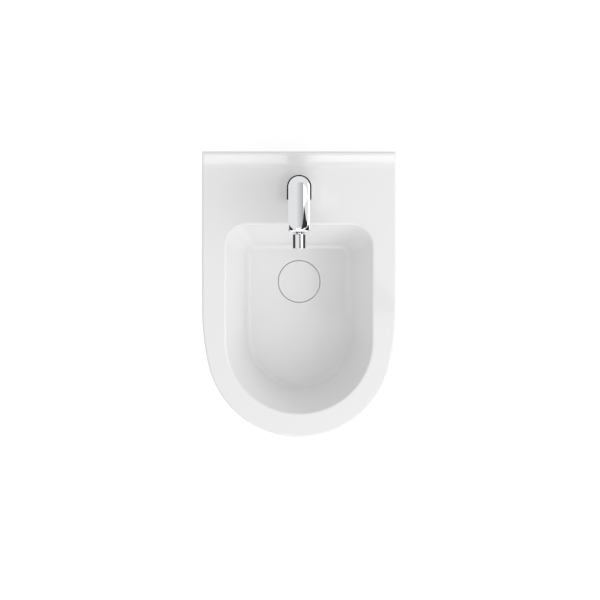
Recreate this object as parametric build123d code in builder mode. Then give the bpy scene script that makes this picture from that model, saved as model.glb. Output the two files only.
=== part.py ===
from build123d import *
import math
import os

os.makedirs("parts", exist_ok=True)

# A wall hung bidet: glazed basin, single lever tap, push waste and bottle trap.
# X is to the right and Z is up. The wall is the plane Y = 0 and the nose points along -Y.
# The origin lies on the wall, midway between the two fixing holes. Sizes are in millimetres.

# Basin from outside
basin_width = 360.0
basin_length = 530.0
basin_height = 300.0
deck_z = 100.0
band_height = 60.0
nose_tuck = 7.2
shoulder_length = 66.6
side_tuck = 55.0
front_tuck = 200.0
under_curl = 0.9
side_sections = 6
section_crowding = 1.4
rim_round = 4.0
foot_round = 5.0
upstand_height = 12.0
upstand_top = 6.5
upstand_slope = 16.0
upstand_cove = 34.0
upstand_round = 2.5

# Basin walls
shell_wall = 9.5
back_plate = 15.0
deck_thickness = 13.0
bowl_wall = 9.5

# Bowl
bowl_width = 273.0
bowl_back = 135.0
bowl_rim_front = 43.5
bowl_corner = 40.0
bowl_depth = 132.0
bowl_lean_side = 40.0
bowl_lean_back = 37.0
bowl_lean_front = 50.0
bowl_floor_corner = 22.0
bowl_lip_round = 4.0
bowl_foot_round = 14.0

# Overflow under the spout, with its channel down to the waste
overflow_radius = 11.0
overflow_below_deck = 52.0
channel_width = 26.0
channel_gap = 14.0
channel_wall = 8.0

# Wall fixings
fixing_distance = 180.0
fixing_hole_radius = 11.0
sleeve_gap = 0.2
sleeve_bore_radius = 6.5
sleeve_flange_radius = 15.0
sleeve_flange = 3.0
fixing_washer_radius = 13.5
fixing_washer_bore_radius = 6.6
fixing_washer_thickness = 2.5
fixing_nut_flats = 19.0
fixing_nut_height = 10.0
fixing_nut_bore_radius = 6.1

# Service opening in the back plate
service_width = 140.0
service_top_drop = 72.0
service_corner = 30.0

# Waste
drain_from_wall = 240.7
cover_radius = 38.6
cover_gap = 0.9
cover_thickness = 4.8
cover_proud = 0.8
cover_edge_round = 1.2
cover_boss_radius = 9.0
cover_boss_height = 5.0
recess_depth = 9.0
recess_edge_round = 1.0
seat_thickness = 23.0
seat_boss_radius = 50.0
waste_hole_radius = 23.0
flange_radius = 31.5
flange_thickness = 2.5
flange_mouth = 1.5
waste_seal_thickness = 2.0
waste_seal_inset = 1.5
tail_radius = 20.95
tail_wall = 2.9
tail_length = 65.5
waste_slot_width = 20.0
waste_slot_height = 8.0
lower_washer_thickness = 3.0
lower_washer_radius = 31.0
back_nut_height = 8.0
back_nut_flats = 58.0
thread_gap = 0.08

# Push plug
plug_disc_radius = 16.8
plug_disc_height = 4.2
plug_seal_wire_radius = 1.4
plug_seal_reach = 17.7
plug_stem_radius = 4.0
plug_stem_rest_gap = 0.6
running_gap = 0.08
guide_drop = 37.0
guide_height = 7.0
guide_hub_radius = 7.5
guide_rim = 1.8
guide_arm_width = 3.0
guide_arms = 3
latch_height = 16.0
latch_wall = 2.6
latch_floor = 2.0
spring_radius = 6.2
spring_wire_radius = 0.7
spring_turns = 6
spring_seat_gap = 0.1

# Bottle trap
trap_nut_grip = 13.0
trap_nut_radius = 25.5
trap_nut_lip = 2.4
trap_nut_grooves = 12
trap_nut_groove_radius = 2.0
trap_washer_thickness = 2.5
trap_collar = 3.0
trap_inlet_radius = 19.1
trap_inlet_bore_radius = 16.5
trap_neck = 2.5
trap_head_radius = 31.0
trap_head_height = 42.0
trap_wall = 3.0
trap_outlet_drop = 22.5
trap_outlet_reach = 52.0
trap_outlet_radius = 18.6
trap_outlet_thread = 15.0
trap_cup_height = 34.0
trap_cup_grip = 8.0
trap_cup_neck_wall = 2.4
trap_cup_round = 14.0
trap_cup_seal_thickness = 2.0
dip_wall = 1.5
dip_floor_gap = 12.0
socket_gap = 0.1
outlet_pipe_radius = 16.0
outlet_pipe_wall = 1.8
outlet_spigot_radius = 15.4
outlet_shoulder_gap = 0.5
outlet_pipe_entry = 20.0
outlet_washer_thickness = 3.5
outlet_nut_overlap = 12.0
outlet_nut_lip = 3.0

# Tap body and spout
tap_from_wall = 67.0
tap_hole_radius = 17.5
tap_radius = 23.0
tap_front = 26.0
tap_front_corner = 3.0
tap_height = 100.0
tap_edge_round = 2.0
tap_seal_inner_radius = 18.6
tap_seal_outer_radius = 21.4
tap_seal_height = 2.3
tap_seal_proud = 0.3
tap_pocket_radius = 17.0
tap_pocket_height = 18.0
spout_width = 41.0
spout_height = 28.0
spout_axis_height = 52.0
spout_length = 82.0
spout_corner = 5.5
spout_edge_round = 2.5
water_bore_radius = 6.5
outlet_port_forward = 9.0

# Tap inlets and fixing
inlet_spread = 16.0
inlet_back = 5.0
inlet_thread_radius = 5.0
inlet_thread_depth = 12.0
inlet_bore_radius = 4.0
stud_forward = 12.0
stud_radius = 4.0
stud_length = 82.0
stud_grip = 12.0
horseshoe_radius = 24.0
horseshoe_slot_width = 30.0
horseshoe_bridge = 7.5
horseshoe_gasket_thickness = 3.0
horseshoe_washer_thickness = 2.5
stud_nut_flats = 13.0
stud_nut_height = 6.5

# Cartridge
chamber_depth = 38.0
chamber_radius = 17.6
nut_thread_depth = 12.0
nut_thread_radius = 19.3
cartridge_radius = 17.3
cartridge_base_height = 6.0
port_radius = 2.8
port_seal_inner_radius = 4.2
port_seal_outer_radius = 5.8
port_seal_height = 1.4
port_seal_proud = 0.2
fixed_disc_radius = 14.0
fixed_disc_height = 4.0
moving_disc_radius = 9.8
moving_disc_height = 2.5
moving_disc_hollow_radius = 6.0
moving_disc_hollow = 1.2
carrier_height = 5.2
housing_bore_radius = 14.4
housing_height = 21.0
housing_roof = 3.0
housing_neck_radius = 14.5
housing_neck_bore_radius = 12.5
housing_neck_height = 6.0
cartridge_nut_bore_radius = 14.8
cartridge_nut_height = 10.0
cartridge_nut_notches = 6
cartridge_nut_notch_width = 3.0
cartridge_nut_notch_depth = 2.0
rotor_flange_radius = 14.0
rotor_flange_height = 4.0
rotor_radius = 12.2
rotor_height = 15.7
rotor_slot_gap = 0.4
rotor_slot_length = 16.8
rotor_gap = 0.6
pivot_drop = 12.0
stem_arm = 9.0
stem_ball_radius = 3.0
stem_ball_gap = 0.35
stem_neck_radius = 2.4
stem_width = 8.0
stem_shoulder_drop = 4.0
stem_rise = 29.3
pin_radius = 1.5
pin_length = 22.0
pin_gap = 0.05
cap_flange_radius = 20.8
cap_thickness = 1.3
cap_dome_radius = 19.5
cap_opening_radius = 12.6

# Lever
lever_radius = 20.2
lever_length = 101.0
lever_thickness = 9.5
lever_tip_thickness = 6.0
lever_above_pivot = 25.0
lever_hub_radius = 13.0
lever_hub_height = 3.5
lever_edge_round = 4.4
lever_under_round = 0.8
lever_fit_gap = 0.05
grub_radius = 2.0
grub_length = 8.0
grub_above_under = 2.3
indicator_length = 3.0
indicator_inset = 0.1

# Ball nozzle
ball_radius = 8.5
ball_behind_face = 4.2
ball_rear_cut = 6.0
ball_seat_gap = 0.05
ball_seal_gap = 0.15
ball_ring_gap = 0.3
socket_radius = 11.6
socket_depth = 12.0
seat_gap = 0.1
seat_rear = 4.5
seat_front = 1.5
ring_gap = 0.1
neck_radius = 5.2
nozzle_bore_radius = 3.8
nozzle_gap = 4.5
nozzle_radius = 11.6
nozzle_length = 27.0
nozzle_wall = 1.6
nozzle_boss_radius = 8.0
nozzle_boss_length = 6.5
nozzle_edge_round = 1.0
nozzle_gasket_thickness = 2.0
nozzle_gasket_bore_radius = 5.0
straightener_inset = 2.0
straightener_hole_radius = 0.9
straightener_ring_step = 2.6
straightener_rings = 3
straightener_holes_per_step = 6

# How far a cutting shape runs past what it cuts, and how closely a face is looked up
over_cut = 1.0
near = 0.1

# Levels and places worked out from the sizes above
half_width = basin_width / 2
bottom_z = deck_z - basin_height
band_z = deck_z - band_height
deck_under_z = deck_z - deck_thickness
floor_z = deck_z - bowl_depth
recess_z = floor_z - recess_depth
seat_under_z = recess_z - seat_thickness
slot_z = recess_z - seat_thickness / 2
drain_y = -drain_from_wall
tap_y = -tap_from_wall

flange_under_z = recess_z + waste_seal_thickness
flange_top_z = flange_under_z + flange_thickness
tail_bore_radius = tail_radius - tail_wall
tail_end_z = flange_under_z - tail_length
cover_top_z = floor_z + cover_proud
cover_under_z = cover_top_z - cover_thickness
plug_top_z = cover_under_z - cover_boss_height
plug_under_z = plug_top_z - plug_disc_height
guide_top_z = flange_top_z - guide_drop
guide_under_z = guide_top_z - guide_height
latch_end_z = guide_under_z - latch_height

trap_collar_top_z = tail_end_z - trap_washer_thickness
trap_collar_under_z = trap_collar_top_z - trap_collar
trap_nut_end_z = trap_collar_under_z - trap_nut_lip
trap_head_top_z = trap_nut_end_z - trap_neck
trap_head_end_z = trap_head_top_z - trap_head_height
trap_outlet_z = trap_head_top_z - trap_outlet_drop
trap_cup_top_z = trap_head_end_z - trap_cup_seal_thickness
trap_cup_end_z = trap_cup_top_z - trap_cup_height
trap_bore_radius = trap_head_radius - trap_wall

tap_base_z = deck_z + tap_seal_proud
tap_top_z = deck_z + tap_height
tap_pocket_z = tap_base_z + tap_pocket_height
spout_z = deck_z + spout_axis_height
spout_front_y = tap_y - spout_length
chamber_z = tap_top_z - chamber_depth
base_under_z = chamber_z + port_seal_proud
fixed_disc_z = base_under_z + cartridge_base_height
moving_disc_z = fixed_disc_z + fixed_disc_height
carrier_z = moving_disc_z + moving_disc_height
rotor_z = carrier_z + carrier_height + rotor_gap
housing_top_z = fixed_disc_z + housing_height
pivot_z = tap_top_z - pivot_drop
stem_ball_z = pivot_z - stem_arm
stem_top_z = pivot_z + stem_rise
lever_under_z = pivot_z + lever_above_pivot
lever_hub_z = lever_under_z - lever_hub_height
grub_z = lever_under_z + grub_above_under
ball_y = spout_front_y + ball_behind_face

# Planes and axes that the round pieces share
wall_plan = Plane(origin=(0, 0, 0), x_dir=(1, 0, 0), z_dir=(0, -1, 0))
drain_plan = Plane(origin=(0, drain_y, 0))
drain_side = Plane(origin=(0, drain_y, 0), x_dir=(1, 0, 0), z_dir=(0, -1, 0))
drain_axis = Axis((0, drain_y, 0), (0, 0, 1))
outlet_plan = Plane(origin=(0, drain_y, trap_outlet_z), x_dir=(1, 0, 0), z_dir=(0, 1, 0))
tap_plan = Plane(origin=(0, tap_y, 0))
tap_side = Plane(origin=(0, tap_y, 0), x_dir=(1, 0, 0), z_dir=(0, -1, 0))
tap_axis = Axis((0, tap_y, 0), (0, 0, 1))
nozzle_plan = Plane(origin=(0, ball_y, spout_z), x_dir=(1, 0, 0), z_dir=(0, -1, 0))
nozzle_side = Plane(origin=(0, ball_y, spout_z), x_dir=(0, -1, 0), z_dir=(-1, 0, 0))
nozzle_axis = Axis((0, ball_y, spout_z), (0, -1, 0))
port_places = [(-inlet_spread / 2, inlet_back), (inlet_spread / 2, inlet_back), (0, -outlet_port_forward)]


def under_curve(z):
    # 1 at the straight side band, falling along an ellipse to 0 at the underside
    drop = max(0.0, (band_z - z) / (band_z - bottom_z))
    curl = math.sqrt(1 - (under_curl * drop) ** 2)
    curl_end = math.sqrt(1 - under_curl**2)
    return (curl - curl_end) / (1 - curl_end)


def half_width_at(z):
    return half_width - side_tuck * (1 - under_curve(z))


def length_at(z):
    return basin_length - front_tuck * (1 - under_curve(z))


def side_levels():
    # heights of the sections that shape the side below the band, closer together at the underside
    shares = [(step / (side_sections - 1)) ** section_crowding for step in range(side_sections)]
    return [bottom_z + share * (band_z - bottom_z) for share in shares]


def basin_plan(half, back, front):
    # straight sides, long flank arcs and a round nose, all tangent
    shrink = half / half_width
    nose = half - nose_tuck * shrink
    nose_y = front + nose
    shoulder = shoulder_length * shrink
    shoulder_y = nose_y + shoulder
    flank = (half**2 + shoulder**2 - nose**2) / (2 * (half - nose))
    swing = math.degrees(math.atan2(shoulder, flank - half))
    with BuildSketch() as plan:
        with BuildLine():
            Line((half, shoulder_y), (half, back))
            Line((half, back), (-half, back))
            Line((-half, back), (-half, shoulder_y))
            CenterArc((flank - half, shoulder_y), flank, 180, swing)
            CenterArc((0, nose_y), nose, 180 + swing, 180 - 2 * swing)
            CenterArc((half - flank, shoulder_y), flank, -swing, swing)
        make_face()
    return plan.sketch


def bowl_plan(z, grow):
    # flat back with round corners, straight sides and a half round nose, grown by a wall
    drop = (deck_z - z) / bowl_depth
    half = bowl_width / 2 - bowl_lean_side * drop + grow
    back = bowl_back_at(z) + grow
    front = bowl_rim_front - basin_length + bowl_lean_front * drop - grow
    corner = bowl_corner + (bowl_floor_corner - bowl_corner) * drop + grow
    nose_y = front + half
    with BuildSketch() as plan:
        with BuildLine():
            Line((half, nose_y), (half, back - corner))
            CenterArc((half - corner, back - corner), corner, 0, 90)
            Line((half - corner, back), (corner - half, back))
            CenterArc((corner - half, back - corner), corner, 90, 90)
            Line((-half, back - corner), (-half, nose_y))
            CenterArc((0, nose_y), half, 180, 90)
            CenterArc((0, nose_y), half, 270, 90)
        make_face()
    return plan.sketch


def bowl_back_at(z):
    return -bowl_back - bowl_lean_back * (deck_z - z) / bowl_depth


def channel_profile(margin):
    # side view of the overflow channel: down behind the bowl, then forward to the waste
    top_z = deck_z - overflow_below_deck + overflow_radius + margin
    roof_z = slot_z + waste_slot_height / 2
    low_z = seat_under_z if margin else slot_z - waste_slot_height / 2
    sunk = min(margin, bowl_wall / 2)
    inside = bowl_wall - sunk
    behind = bowl_wall + channel_gap + margin
    end_y = drain_y + waste_hole_radius - over_cut
    with BuildSketch(Plane.YZ) as profile:
        with BuildLine():
            Polyline(
                (bowl_back_at(top_z) + inside, top_z),
                (bowl_back_at(top_z) + behind, top_z),
                (bowl_back_at(roof_z) + behind, low_z),
                (end_y, low_z),
                (end_y, roof_z + sunk),
                (bowl_back_at(roof_z) + inside, roof_z + sunk),
                close=True,
            )
        make_face()
    return profile.sketch


# Skirt of the casting: side walls and back plate, open below
with BuildPart() as basin_skirt:
    for level in side_levels():
        with BuildSketch(Plane.XY.offset(level)):
            add(basin_plan(half_width_at(level), 0, -length_at(level)))
    loft()
    with BuildSketch(Plane.XY.offset(band_z)):
        add(basin_plan(half_width, 0, -basin_length))
    extrude(amount=deck_under_z - band_z)
    fillet(basin_skirt.edges().group_by(Axis.Z)[0].filter_by(Axis.X, reverse=True), foot_round)
    for level in side_levels():
        inner_half = half_width_at(level - shell_wall) - shell_wall
        inner_front = shell_wall - length_at(level - shell_wall)
        with BuildSketch(Plane.XY.offset(level)):
            add(basin_plan(inner_half, -back_plate, inner_front))
    loft(mode=Mode.SUBTRACT)
    with BuildSketch(Plane.XY.offset(band_z)):
        add(basin_plan(inner_half, -back_plate, inner_front))
    extrude(amount=deck_under_z - band_z, mode=Mode.SUBTRACT)
    # holes for the wall fixings, and the service opening
    with BuildSketch(wall_plan):
        with GridLocations(fixing_distance, 1, 2, 1):
            Circle(fixing_hole_radius)
    extrude(amount=back_plate, mode=Mode.SUBTRACT)
    with BuildSketch(wall_plan) as service_opening:
        with Locations((0, bottom_z)):
            Rectangle(service_width, 2 * (-service_top_drop - bottom_z))
        fillet(service_opening.vertices(), service_corner)
    extrude(amount=back_plate, mode=Mode.SUBTRACT)

# Deck of the casting with the upstand and the bowl's mouth, bonded to the skirt and the bowl below
with BuildPart() as basin_deck:
    with BuildSketch(Plane.XY.offset(deck_under_z)):
        add(basin_plan(half_width, 0, -basin_length))
    extrude(amount=deck_thickness + upstand_height)
    # the deck lies lower than the upstand along the wall, with a cove between them
    with BuildSketch(Plane.YZ) as deck_cut:
        with BuildLine():
            Polyline(
                (-upstand_top, deck_z + upstand_height),
                (-upstand_top - upstand_slope, deck_z),
                (-basin_length - over_cut, deck_z),
                (-basin_length - over_cut, deck_z + upstand_height + over_cut),
                (-upstand_top, deck_z + upstand_height + over_cut),
                close=True,
            )
        make_face()
        fillet(deck_cut.vertices().group_by(Axis.Y)[0].sort_by(Axis.X)[-1], upstand_cove)
    extrude(amount=half_width + over_cut, both=True, mode=Mode.SUBTRACT)
    fillet(basin_deck.edges().filter_by(Axis.X).group_by(Axis.Z)[-1], upstand_round)
    top_edges = basin_deck.edges().filter_by_position(Axis.Z, deck_z - near, deck_z + upstand_height + near)
    fillet(top_edges.filter_by(Axis.X, reverse=True), rim_round)
    # mouth of the bowl
    with BuildSketch(Plane.XY.offset(deck_z)):
        add(bowl_plan(deck_z, 0))
    with BuildSketch(Plane.XY.offset(deck_under_z)):
        add(bowl_plan(deck_under_z, 0))
    loft(mode=Mode.SUBTRACT)
    level_faces = basin_deck.faces().filter_by(Axis.Z)
    deck = level_faces.filter_by_position(Axis.Z, deck_z - near, deck_z + near)[0]
    fillet(deck.inner_wires()[0].edges(), bowl_lip_round)
    # hole for the tap
    with BuildSketch(tap_plan.offset(deck_under_z - over_cut)):
        Circle(tap_hole_radius)
    extrude(amount=deck_thickness + 2 * over_cut, mode=Mode.SUBTRACT)

# Bowl of the casting below the deck, with the boss round the waste and the overflow channel
with BuildPart() as basin_bowl:
    with BuildSketch(Plane.XY.offset(deck_under_z)):
        add(bowl_plan(deck_under_z, bowl_wall))
    with BuildSketch(Plane.XY.offset(floor_z - bowl_wall)):
        add(bowl_plan(floor_z - bowl_wall, bowl_wall))
    loft()
    with BuildSketch(drain_plan.offset(seat_under_z)):
        Circle(seat_boss_radius)
    extrude(amount=floor_z - seat_under_z)
    extrude(channel_profile(channel_wall), amount=channel_width / 2 + channel_wall, both=True)
    # inside of the bowl
    with BuildSketch(Plane.XY.offset(deck_under_z)):
        add(bowl_plan(deck_under_z, 0))
    with BuildSketch(Plane.XY.offset(floor_z)):
        add(bowl_plan(floor_z, 0))
    loft(mode=Mode.SUBTRACT)
    level_faces = basin_bowl.faces().filter_by(Axis.Z)
    bowl_floor = level_faces.filter_by_position(Axis.Z, floor_z - near, floor_z + near)
    fillet(bowl_floor.edges(), bowl_foot_round)
    # recess for the cover, and the waste hole through its floor
    with BuildSketch(drain_plan.offset(floor_z)):
        Circle(cover_radius + cover_gap)
    extrude(amount=-recess_depth, mode=Mode.SUBTRACT)
    recess_rim = basin_bowl.edges().filter_by(GeomType.CIRCLE)
    recess_rim = recess_rim.filter_by_position(Axis.Z, floor_z - near, floor_z + near)
    fillet(recess_rim, recess_edge_round)
    with BuildSketch(drain_plan.offset(seat_under_z - over_cut)):
        Circle(waste_hole_radius)
    extrude(amount=seat_thickness + 2 * over_cut, mode=Mode.SUBTRACT)
    # overflow
    extrude(channel_profile(0), amount=channel_width / 2, both=True, mode=Mode.SUBTRACT)
    overflow_z = deck_z - overflow_below_deck
    with BuildSketch(wall_plan.offset(-bowl_back_at(overflow_z) - bowl_wall - over_cut)):
        with Locations((0, overflow_z)):
            Circle(overflow_radius)
    extrude(amount=bowl_wall + bowl_lean_back, mode=Mode.SUBTRACT)

# Wall fixings: plastic sleeves through the back plate, with washers and nuts inside
with BuildPart() as fixing_sleeves:
    with BuildSketch(wall_plan):
        with GridLocations(fixing_distance, 1, 2, 1):
            Circle(fixing_hole_radius - sleeve_gap)
            Circle(sleeve_bore_radius, mode=Mode.SUBTRACT)
    extrude(amount=back_plate)
    with BuildSketch(wall_plan.offset(back_plate)):
        with GridLocations(fixing_distance, 1, 2, 1):
            Circle(sleeve_flange_radius)
            Circle(sleeve_bore_radius, mode=Mode.SUBTRACT)
    extrude(amount=sleeve_flange)

with BuildPart() as fixing_washers:
    with BuildSketch(wall_plan.offset(back_plate + sleeve_flange)):
        with GridLocations(fixing_distance, 1, 2, 1):
            Circle(fixing_washer_radius)
            Circle(fixing_washer_bore_radius, mode=Mode.SUBTRACT)
    extrude(amount=fixing_washer_thickness)

with BuildPart() as fixing_nuts:
    with BuildSketch(wall_plan.offset(back_plate + sleeve_flange + fixing_washer_thickness)):
        with GridLocations(fixing_distance, 1, 2, 1):
            RegularPolygon(fixing_nut_flats / 2, 6, major_radius=False)
            Circle(fixing_nut_bore_radius, mode=Mode.SUBTRACT)
    extrude(amount=fixing_nut_height)

# Waste body: flange in the recess, slotted tail through the floor
with BuildPart() as waste_body:
    with BuildSketch(drain_side):
        with BuildLine():
            Polyline(
                (tail_bore_radius, tail_end_z),
                (tail_radius, tail_end_z),
                (tail_radius, flange_under_z),
                (flange_radius, flange_under_z),
                (flange_radius, flange_top_z),
                (tail_bore_radius + flange_mouth, flange_top_z),
                (tail_bore_radius, flange_top_z - flange_mouth),
                close=True,
            )
        make_face()
    revolve(axis=drain_axis)
    with BuildSketch(drain_side):
        with Locations((0, slot_z)):
            Rectangle(waste_slot_width, waste_slot_height)
    extrude(amount=tail_radius + over_cut, both=True, mode=Mode.SUBTRACT)

with BuildPart() as waste_seal:
    with BuildSketch(drain_plan.offset(recess_z)):
        Circle(flange_radius - waste_seal_inset)
        Circle(waste_hole_radius, mode=Mode.SUBTRACT)
    extrude(amount=waste_seal_thickness)

with BuildPart() as waste_lower_washer:
    with BuildSketch(drain_plan.offset(seat_under_z)):
        Circle(lower_washer_radius)
        Circle(tail_radius + thread_gap, mode=Mode.SUBTRACT)
    extrude(amount=-lower_washer_thickness)

with BuildPart() as waste_back_nut:
    with BuildSketch(drain_plan.offset(seat_under_z - lower_washer_thickness)):
        RegularPolygon(back_nut_flats / 2, 6, major_radius=False)
        Circle(tail_radius + thread_gap, mode=Mode.SUBTRACT)
    extrude(amount=-back_nut_height)

# Guide for the plug's stem, with the push latch under it
with BuildPart() as plug_guide:
    with BuildSketch(drain_plan.offset(guide_under_z)):
        Circle(tail_bore_radius - thread_gap)
        Circle(tail_bore_radius - thread_gap - guide_rim, mode=Mode.SUBTRACT)
        Circle(guide_hub_radius)
        arm_length = tail_bore_radius - guide_rim / 2
        with PolarLocations(arm_length / 2, guide_arms):
            Rectangle(arm_length, guide_arm_width)
        Circle(plug_stem_radius + running_gap, mode=Mode.SUBTRACT)
    extrude(amount=guide_height)

with BuildPart() as click_latch:
    with BuildSketch(drain_plan.offset(latch_end_z)):
        Circle(guide_hub_radius)
    extrude(amount=latch_height)
    with BuildSketch(drain_plan.offset(latch_end_z + latch_floor)):
        Circle(guide_hub_radius - latch_wall)
    extrude(amount=latch_height, mode=Mode.SUBTRACT)

# Plug: sealing disc on a stem, screwed into the cover's boss
plug_seal_z = (plug_top_z + plug_under_z) / 2
plug_seal_radius = plug_seal_reach - plug_seal_wire_radius
with BuildPart() as plug_stem:
    stem_end_z = latch_end_z + latch_floor + plug_stem_rest_gap
    with BuildSketch(drain_side):
        with BuildLine():
            Polyline(
                (0, stem_end_z),
                (plug_stem_radius, stem_end_z),
                (plug_stem_radius, plug_under_z),
                (plug_disc_radius, plug_under_z),
                (plug_disc_radius, plug_top_z),
                (plug_stem_radius, plug_top_z),
                (plug_stem_radius, cover_under_z),
                (0, cover_under_z),
                close=True,
            )
        make_face()
        with Locations((plug_seal_radius, plug_seal_z)):
            Circle(plug_seal_wire_radius, mode=Mode.SUBTRACT)
    revolve(axis=drain_axis)

with BuildPart() as plug_seal:
    with BuildSketch(drain_side):
        with Locations((plug_seal_radius, plug_seal_z)):
            Circle(plug_seal_wire_radius)
    revolve(axis=drain_axis)

with BuildPart() as plug_spring:
    spring_low_z = guide_top_z + spring_wire_radius + spring_seat_gap
    spring_high_z = plug_under_z - spring_wire_radius - spring_seat_gap
    spring_height = spring_high_z - spring_low_z
    with BuildLine() as coil:
        Helix(spring_height / spring_turns, spring_height, spring_radius,
              center=(0, drain_y, spring_low_z))
    with BuildSketch(Plane(origin=coil.line @ 0, z_dir=coil.line % 0)):
        Circle(spring_wire_radius)
    sweep(is_frenet=True)
print("least gap between the spring's turns", spring_height / spring_turns - 2 * spring_wire_radius)

# Drain cover, glazed like the basin
with BuildPart() as drain_cover:
    with BuildSketch(drain_plan.offset(cover_under_z)):
        Circle(cover_radius)
    extrude(amount=cover_thickness)
    fillet(drain_cover.edges().group_by(Axis.Z)[-1], cover_edge_round)
    with BuildSketch(drain_plan.offset(plug_top_z)):
        Circle(cover_boss_radius)
        Circle(plug_stem_radius + thread_gap, mode=Mode.SUBTRACT)
    extrude(amount=cover_boss_height)


def grooved_ring(radius, bore):
    # round nut outline with finger grooves
    with BuildSketch() as ring:
        Circle(radius)
        with PolarLocations(radius, trap_nut_grooves):
            Circle(trap_nut_groove_radius, mode=Mode.SUBTRACT)
        Circle(bore, mode=Mode.SUBTRACT)
    return ring.sketch


# Bottle trap, from the waste's tail down
with BuildPart() as trap_inlet_nut:
    with BuildSketch(drain_plan.offset(trap_collar_under_z)):
        add(grooved_ring(trap_nut_radius, tail_radius + thread_gap))
    extrude(amount=trap_nut_grip + trap_washer_thickness + trap_collar)
    with BuildSketch(drain_plan.offset(trap_nut_end_z)):
        add(grooved_ring(trap_nut_radius, trap_inlet_radius + socket_gap))
    extrude(amount=trap_nut_lip)

with BuildPart() as trap_inlet_washer:
    with BuildSketch(drain_plan.offset(trap_collar_top_z)):
        Circle(tail_radius)
        Circle(tail_bore_radius, mode=Mode.SUBTRACT)
    extrude(amount=trap_washer_thickness)

with BuildPart() as trap_head:
    with BuildSketch(drain_plan.offset(trap_head_end_z)):
        Circle(trap_head_radius)
    extrude(amount=trap_head_height)
    with BuildSketch(drain_plan.offset(trap_head_top_z)):
        Circle(trap_inlet_radius)
    extrude(amount=trap_collar_top_z - trap_head_top_z)
    with BuildSketch(drain_plan.offset(trap_collar_under_z)):
        Circle(tail_radius)
    extrude(amount=trap_collar)
    with BuildSketch(outlet_plan):
        Circle(trap_outlet_radius)
    extrude(amount=trap_outlet_reach)
    with BuildSketch(outlet_plan.offset(trap_outlet_reach - trap_outlet_thread)):
        Circle(tail_radius)
    extrude(amount=trap_outlet_thread)
    with BuildSketch(drain_plan.offset(trap_head_end_z)):
        Circle(trap_bore_radius)
    extrude(amount=trap_head_height - trap_wall, mode=Mode.SUBTRACT)
    with BuildSketch(drain_plan.offset(trap_head_end_z)):
        Circle(trap_inlet_bore_radius)
    extrude(amount=trap_collar_top_z - trap_head_end_z, mode=Mode.SUBTRACT)
    with BuildSketch(outlet_plan):
        Circle(outlet_pipe_radius - outlet_pipe_wall)
    extrude(amount=trap_outlet_reach, mode=Mode.SUBTRACT)
    with BuildSketch(outlet_plan.offset(trap_outlet_reach - outlet_pipe_entry)):
        Circle(outlet_spigot_radius + socket_gap)
    extrude(amount=outlet_pipe_entry, mode=Mode.SUBTRACT)

with BuildPart() as trap_dip_tube:
    dip_end_z = trap_cup_end_z + trap_wall + dip_floor_gap
    with BuildSketch(drain_plan.offset(dip_end_z)):
        Circle(trap_inlet_bore_radius - socket_gap)
        Circle(trap_inlet_bore_radius - socket_gap - dip_wall, mode=Mode.SUBTRACT)
    extrude(amount=trap_collar_top_z - dip_end_z)

with BuildPart() as trap_cup_seal:
    with BuildSketch(drain_plan.offset(trap_cup_top_z)):
        Circle(trap_head_radius)
        Circle(trap_bore_radius, mode=Mode.SUBTRACT)
    extrude(amount=trap_cup_seal_thickness)

with BuildPart() as trap_cup:
    neck_top_z = trap_cup_top_z + trap_cup_seal_thickness + trap_cup_grip
    neck_outer = trap_bore_radius - socket_gap
    neck_inner = neck_outer - trap_cup_neck_wall
    with BuildSketch(drain_side) as cup_profile:
        with BuildLine():
            Polyline(
                (0, trap_cup_end_z),
                (trap_head_radius, trap_cup_end_z),
                (trap_head_radius, trap_cup_top_z),
                (neck_outer, trap_cup_top_z),
                (neck_outer, neck_top_z),
                (0, neck_top_z),
                close=True,
            )
        make_face()
        fillet(cup_profile.vertices().group_by(Axis.Y)[0].sort_by(Axis.X)[-1], trap_cup_round)
    revolve(axis=drain_axis)
    with BuildSketch(drain_side) as cup_bore:
        with BuildLine():
            Polyline(
                (0, trap_cup_end_z + trap_wall),
                (trap_bore_radius, trap_cup_end_z + trap_wall),
                (trap_bore_radius, trap_cup_top_z - trap_wall),
                (neck_inner, trap_cup_top_z - trap_wall + trap_bore_radius - neck_inner),
                (neck_inner, neck_top_z),
                (0, neck_top_z),
                close=True,
            )
        make_face()
        fillet(cup_bore.vertices().group_by(Axis.Y)[0].sort_by(Axis.X)[-1], trap_cup_round - trap_wall)
    revolve(axis=drain_axis, mode=Mode.SUBTRACT)

with BuildPart() as trap_outlet_washer:
    with BuildSketch(outlet_plan.offset(trap_outlet_reach)):
        Circle(tail_radius - socket_gap)
        Circle(outlet_spigot_radius + socket_gap, mode=Mode.SUBTRACT)
    extrude(amount=outlet_washer_thickness)

with BuildPart() as trap_outlet_nut:
    with BuildSketch(outlet_plan.offset(trap_outlet_reach - outlet_nut_overlap)):
        add(grooved_ring(trap_nut_radius, tail_radius + thread_gap))
    extrude(amount=outlet_nut_overlap + outlet_washer_thickness)
    with BuildSketch(outlet_plan.offset(trap_outlet_reach + outlet_washer_thickness)):
        add(grooved_ring(trap_nut_radius, outlet_spigot_radius + socket_gap))
    extrude(amount=outlet_nut_lip)

with BuildPart() as trap_outlet_pipe:
    shoulder = trap_outlet_reach + outlet_washer_thickness + outlet_nut_lip + outlet_shoulder_gap
    with BuildSketch(outlet_plan.offset(trap_outlet_reach - outlet_pipe_entry)):
        Circle(outlet_spigot_radius)
    extrude(amount=shoulder + outlet_pipe_entry - trap_outlet_reach)
    with BuildSketch(outlet_plan.offset(shoulder)):
        Circle(outlet_pipe_radius)
    extrude(amount=drain_from_wall - shoulder)
    with BuildSketch(outlet_plan.offset(trap_outlet_reach - outlet_pipe_entry)):
        Circle(outlet_pipe_radius - outlet_pipe_wall)
    extrude(amount=drain_from_wall, mode=Mode.SUBTRACT)

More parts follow.
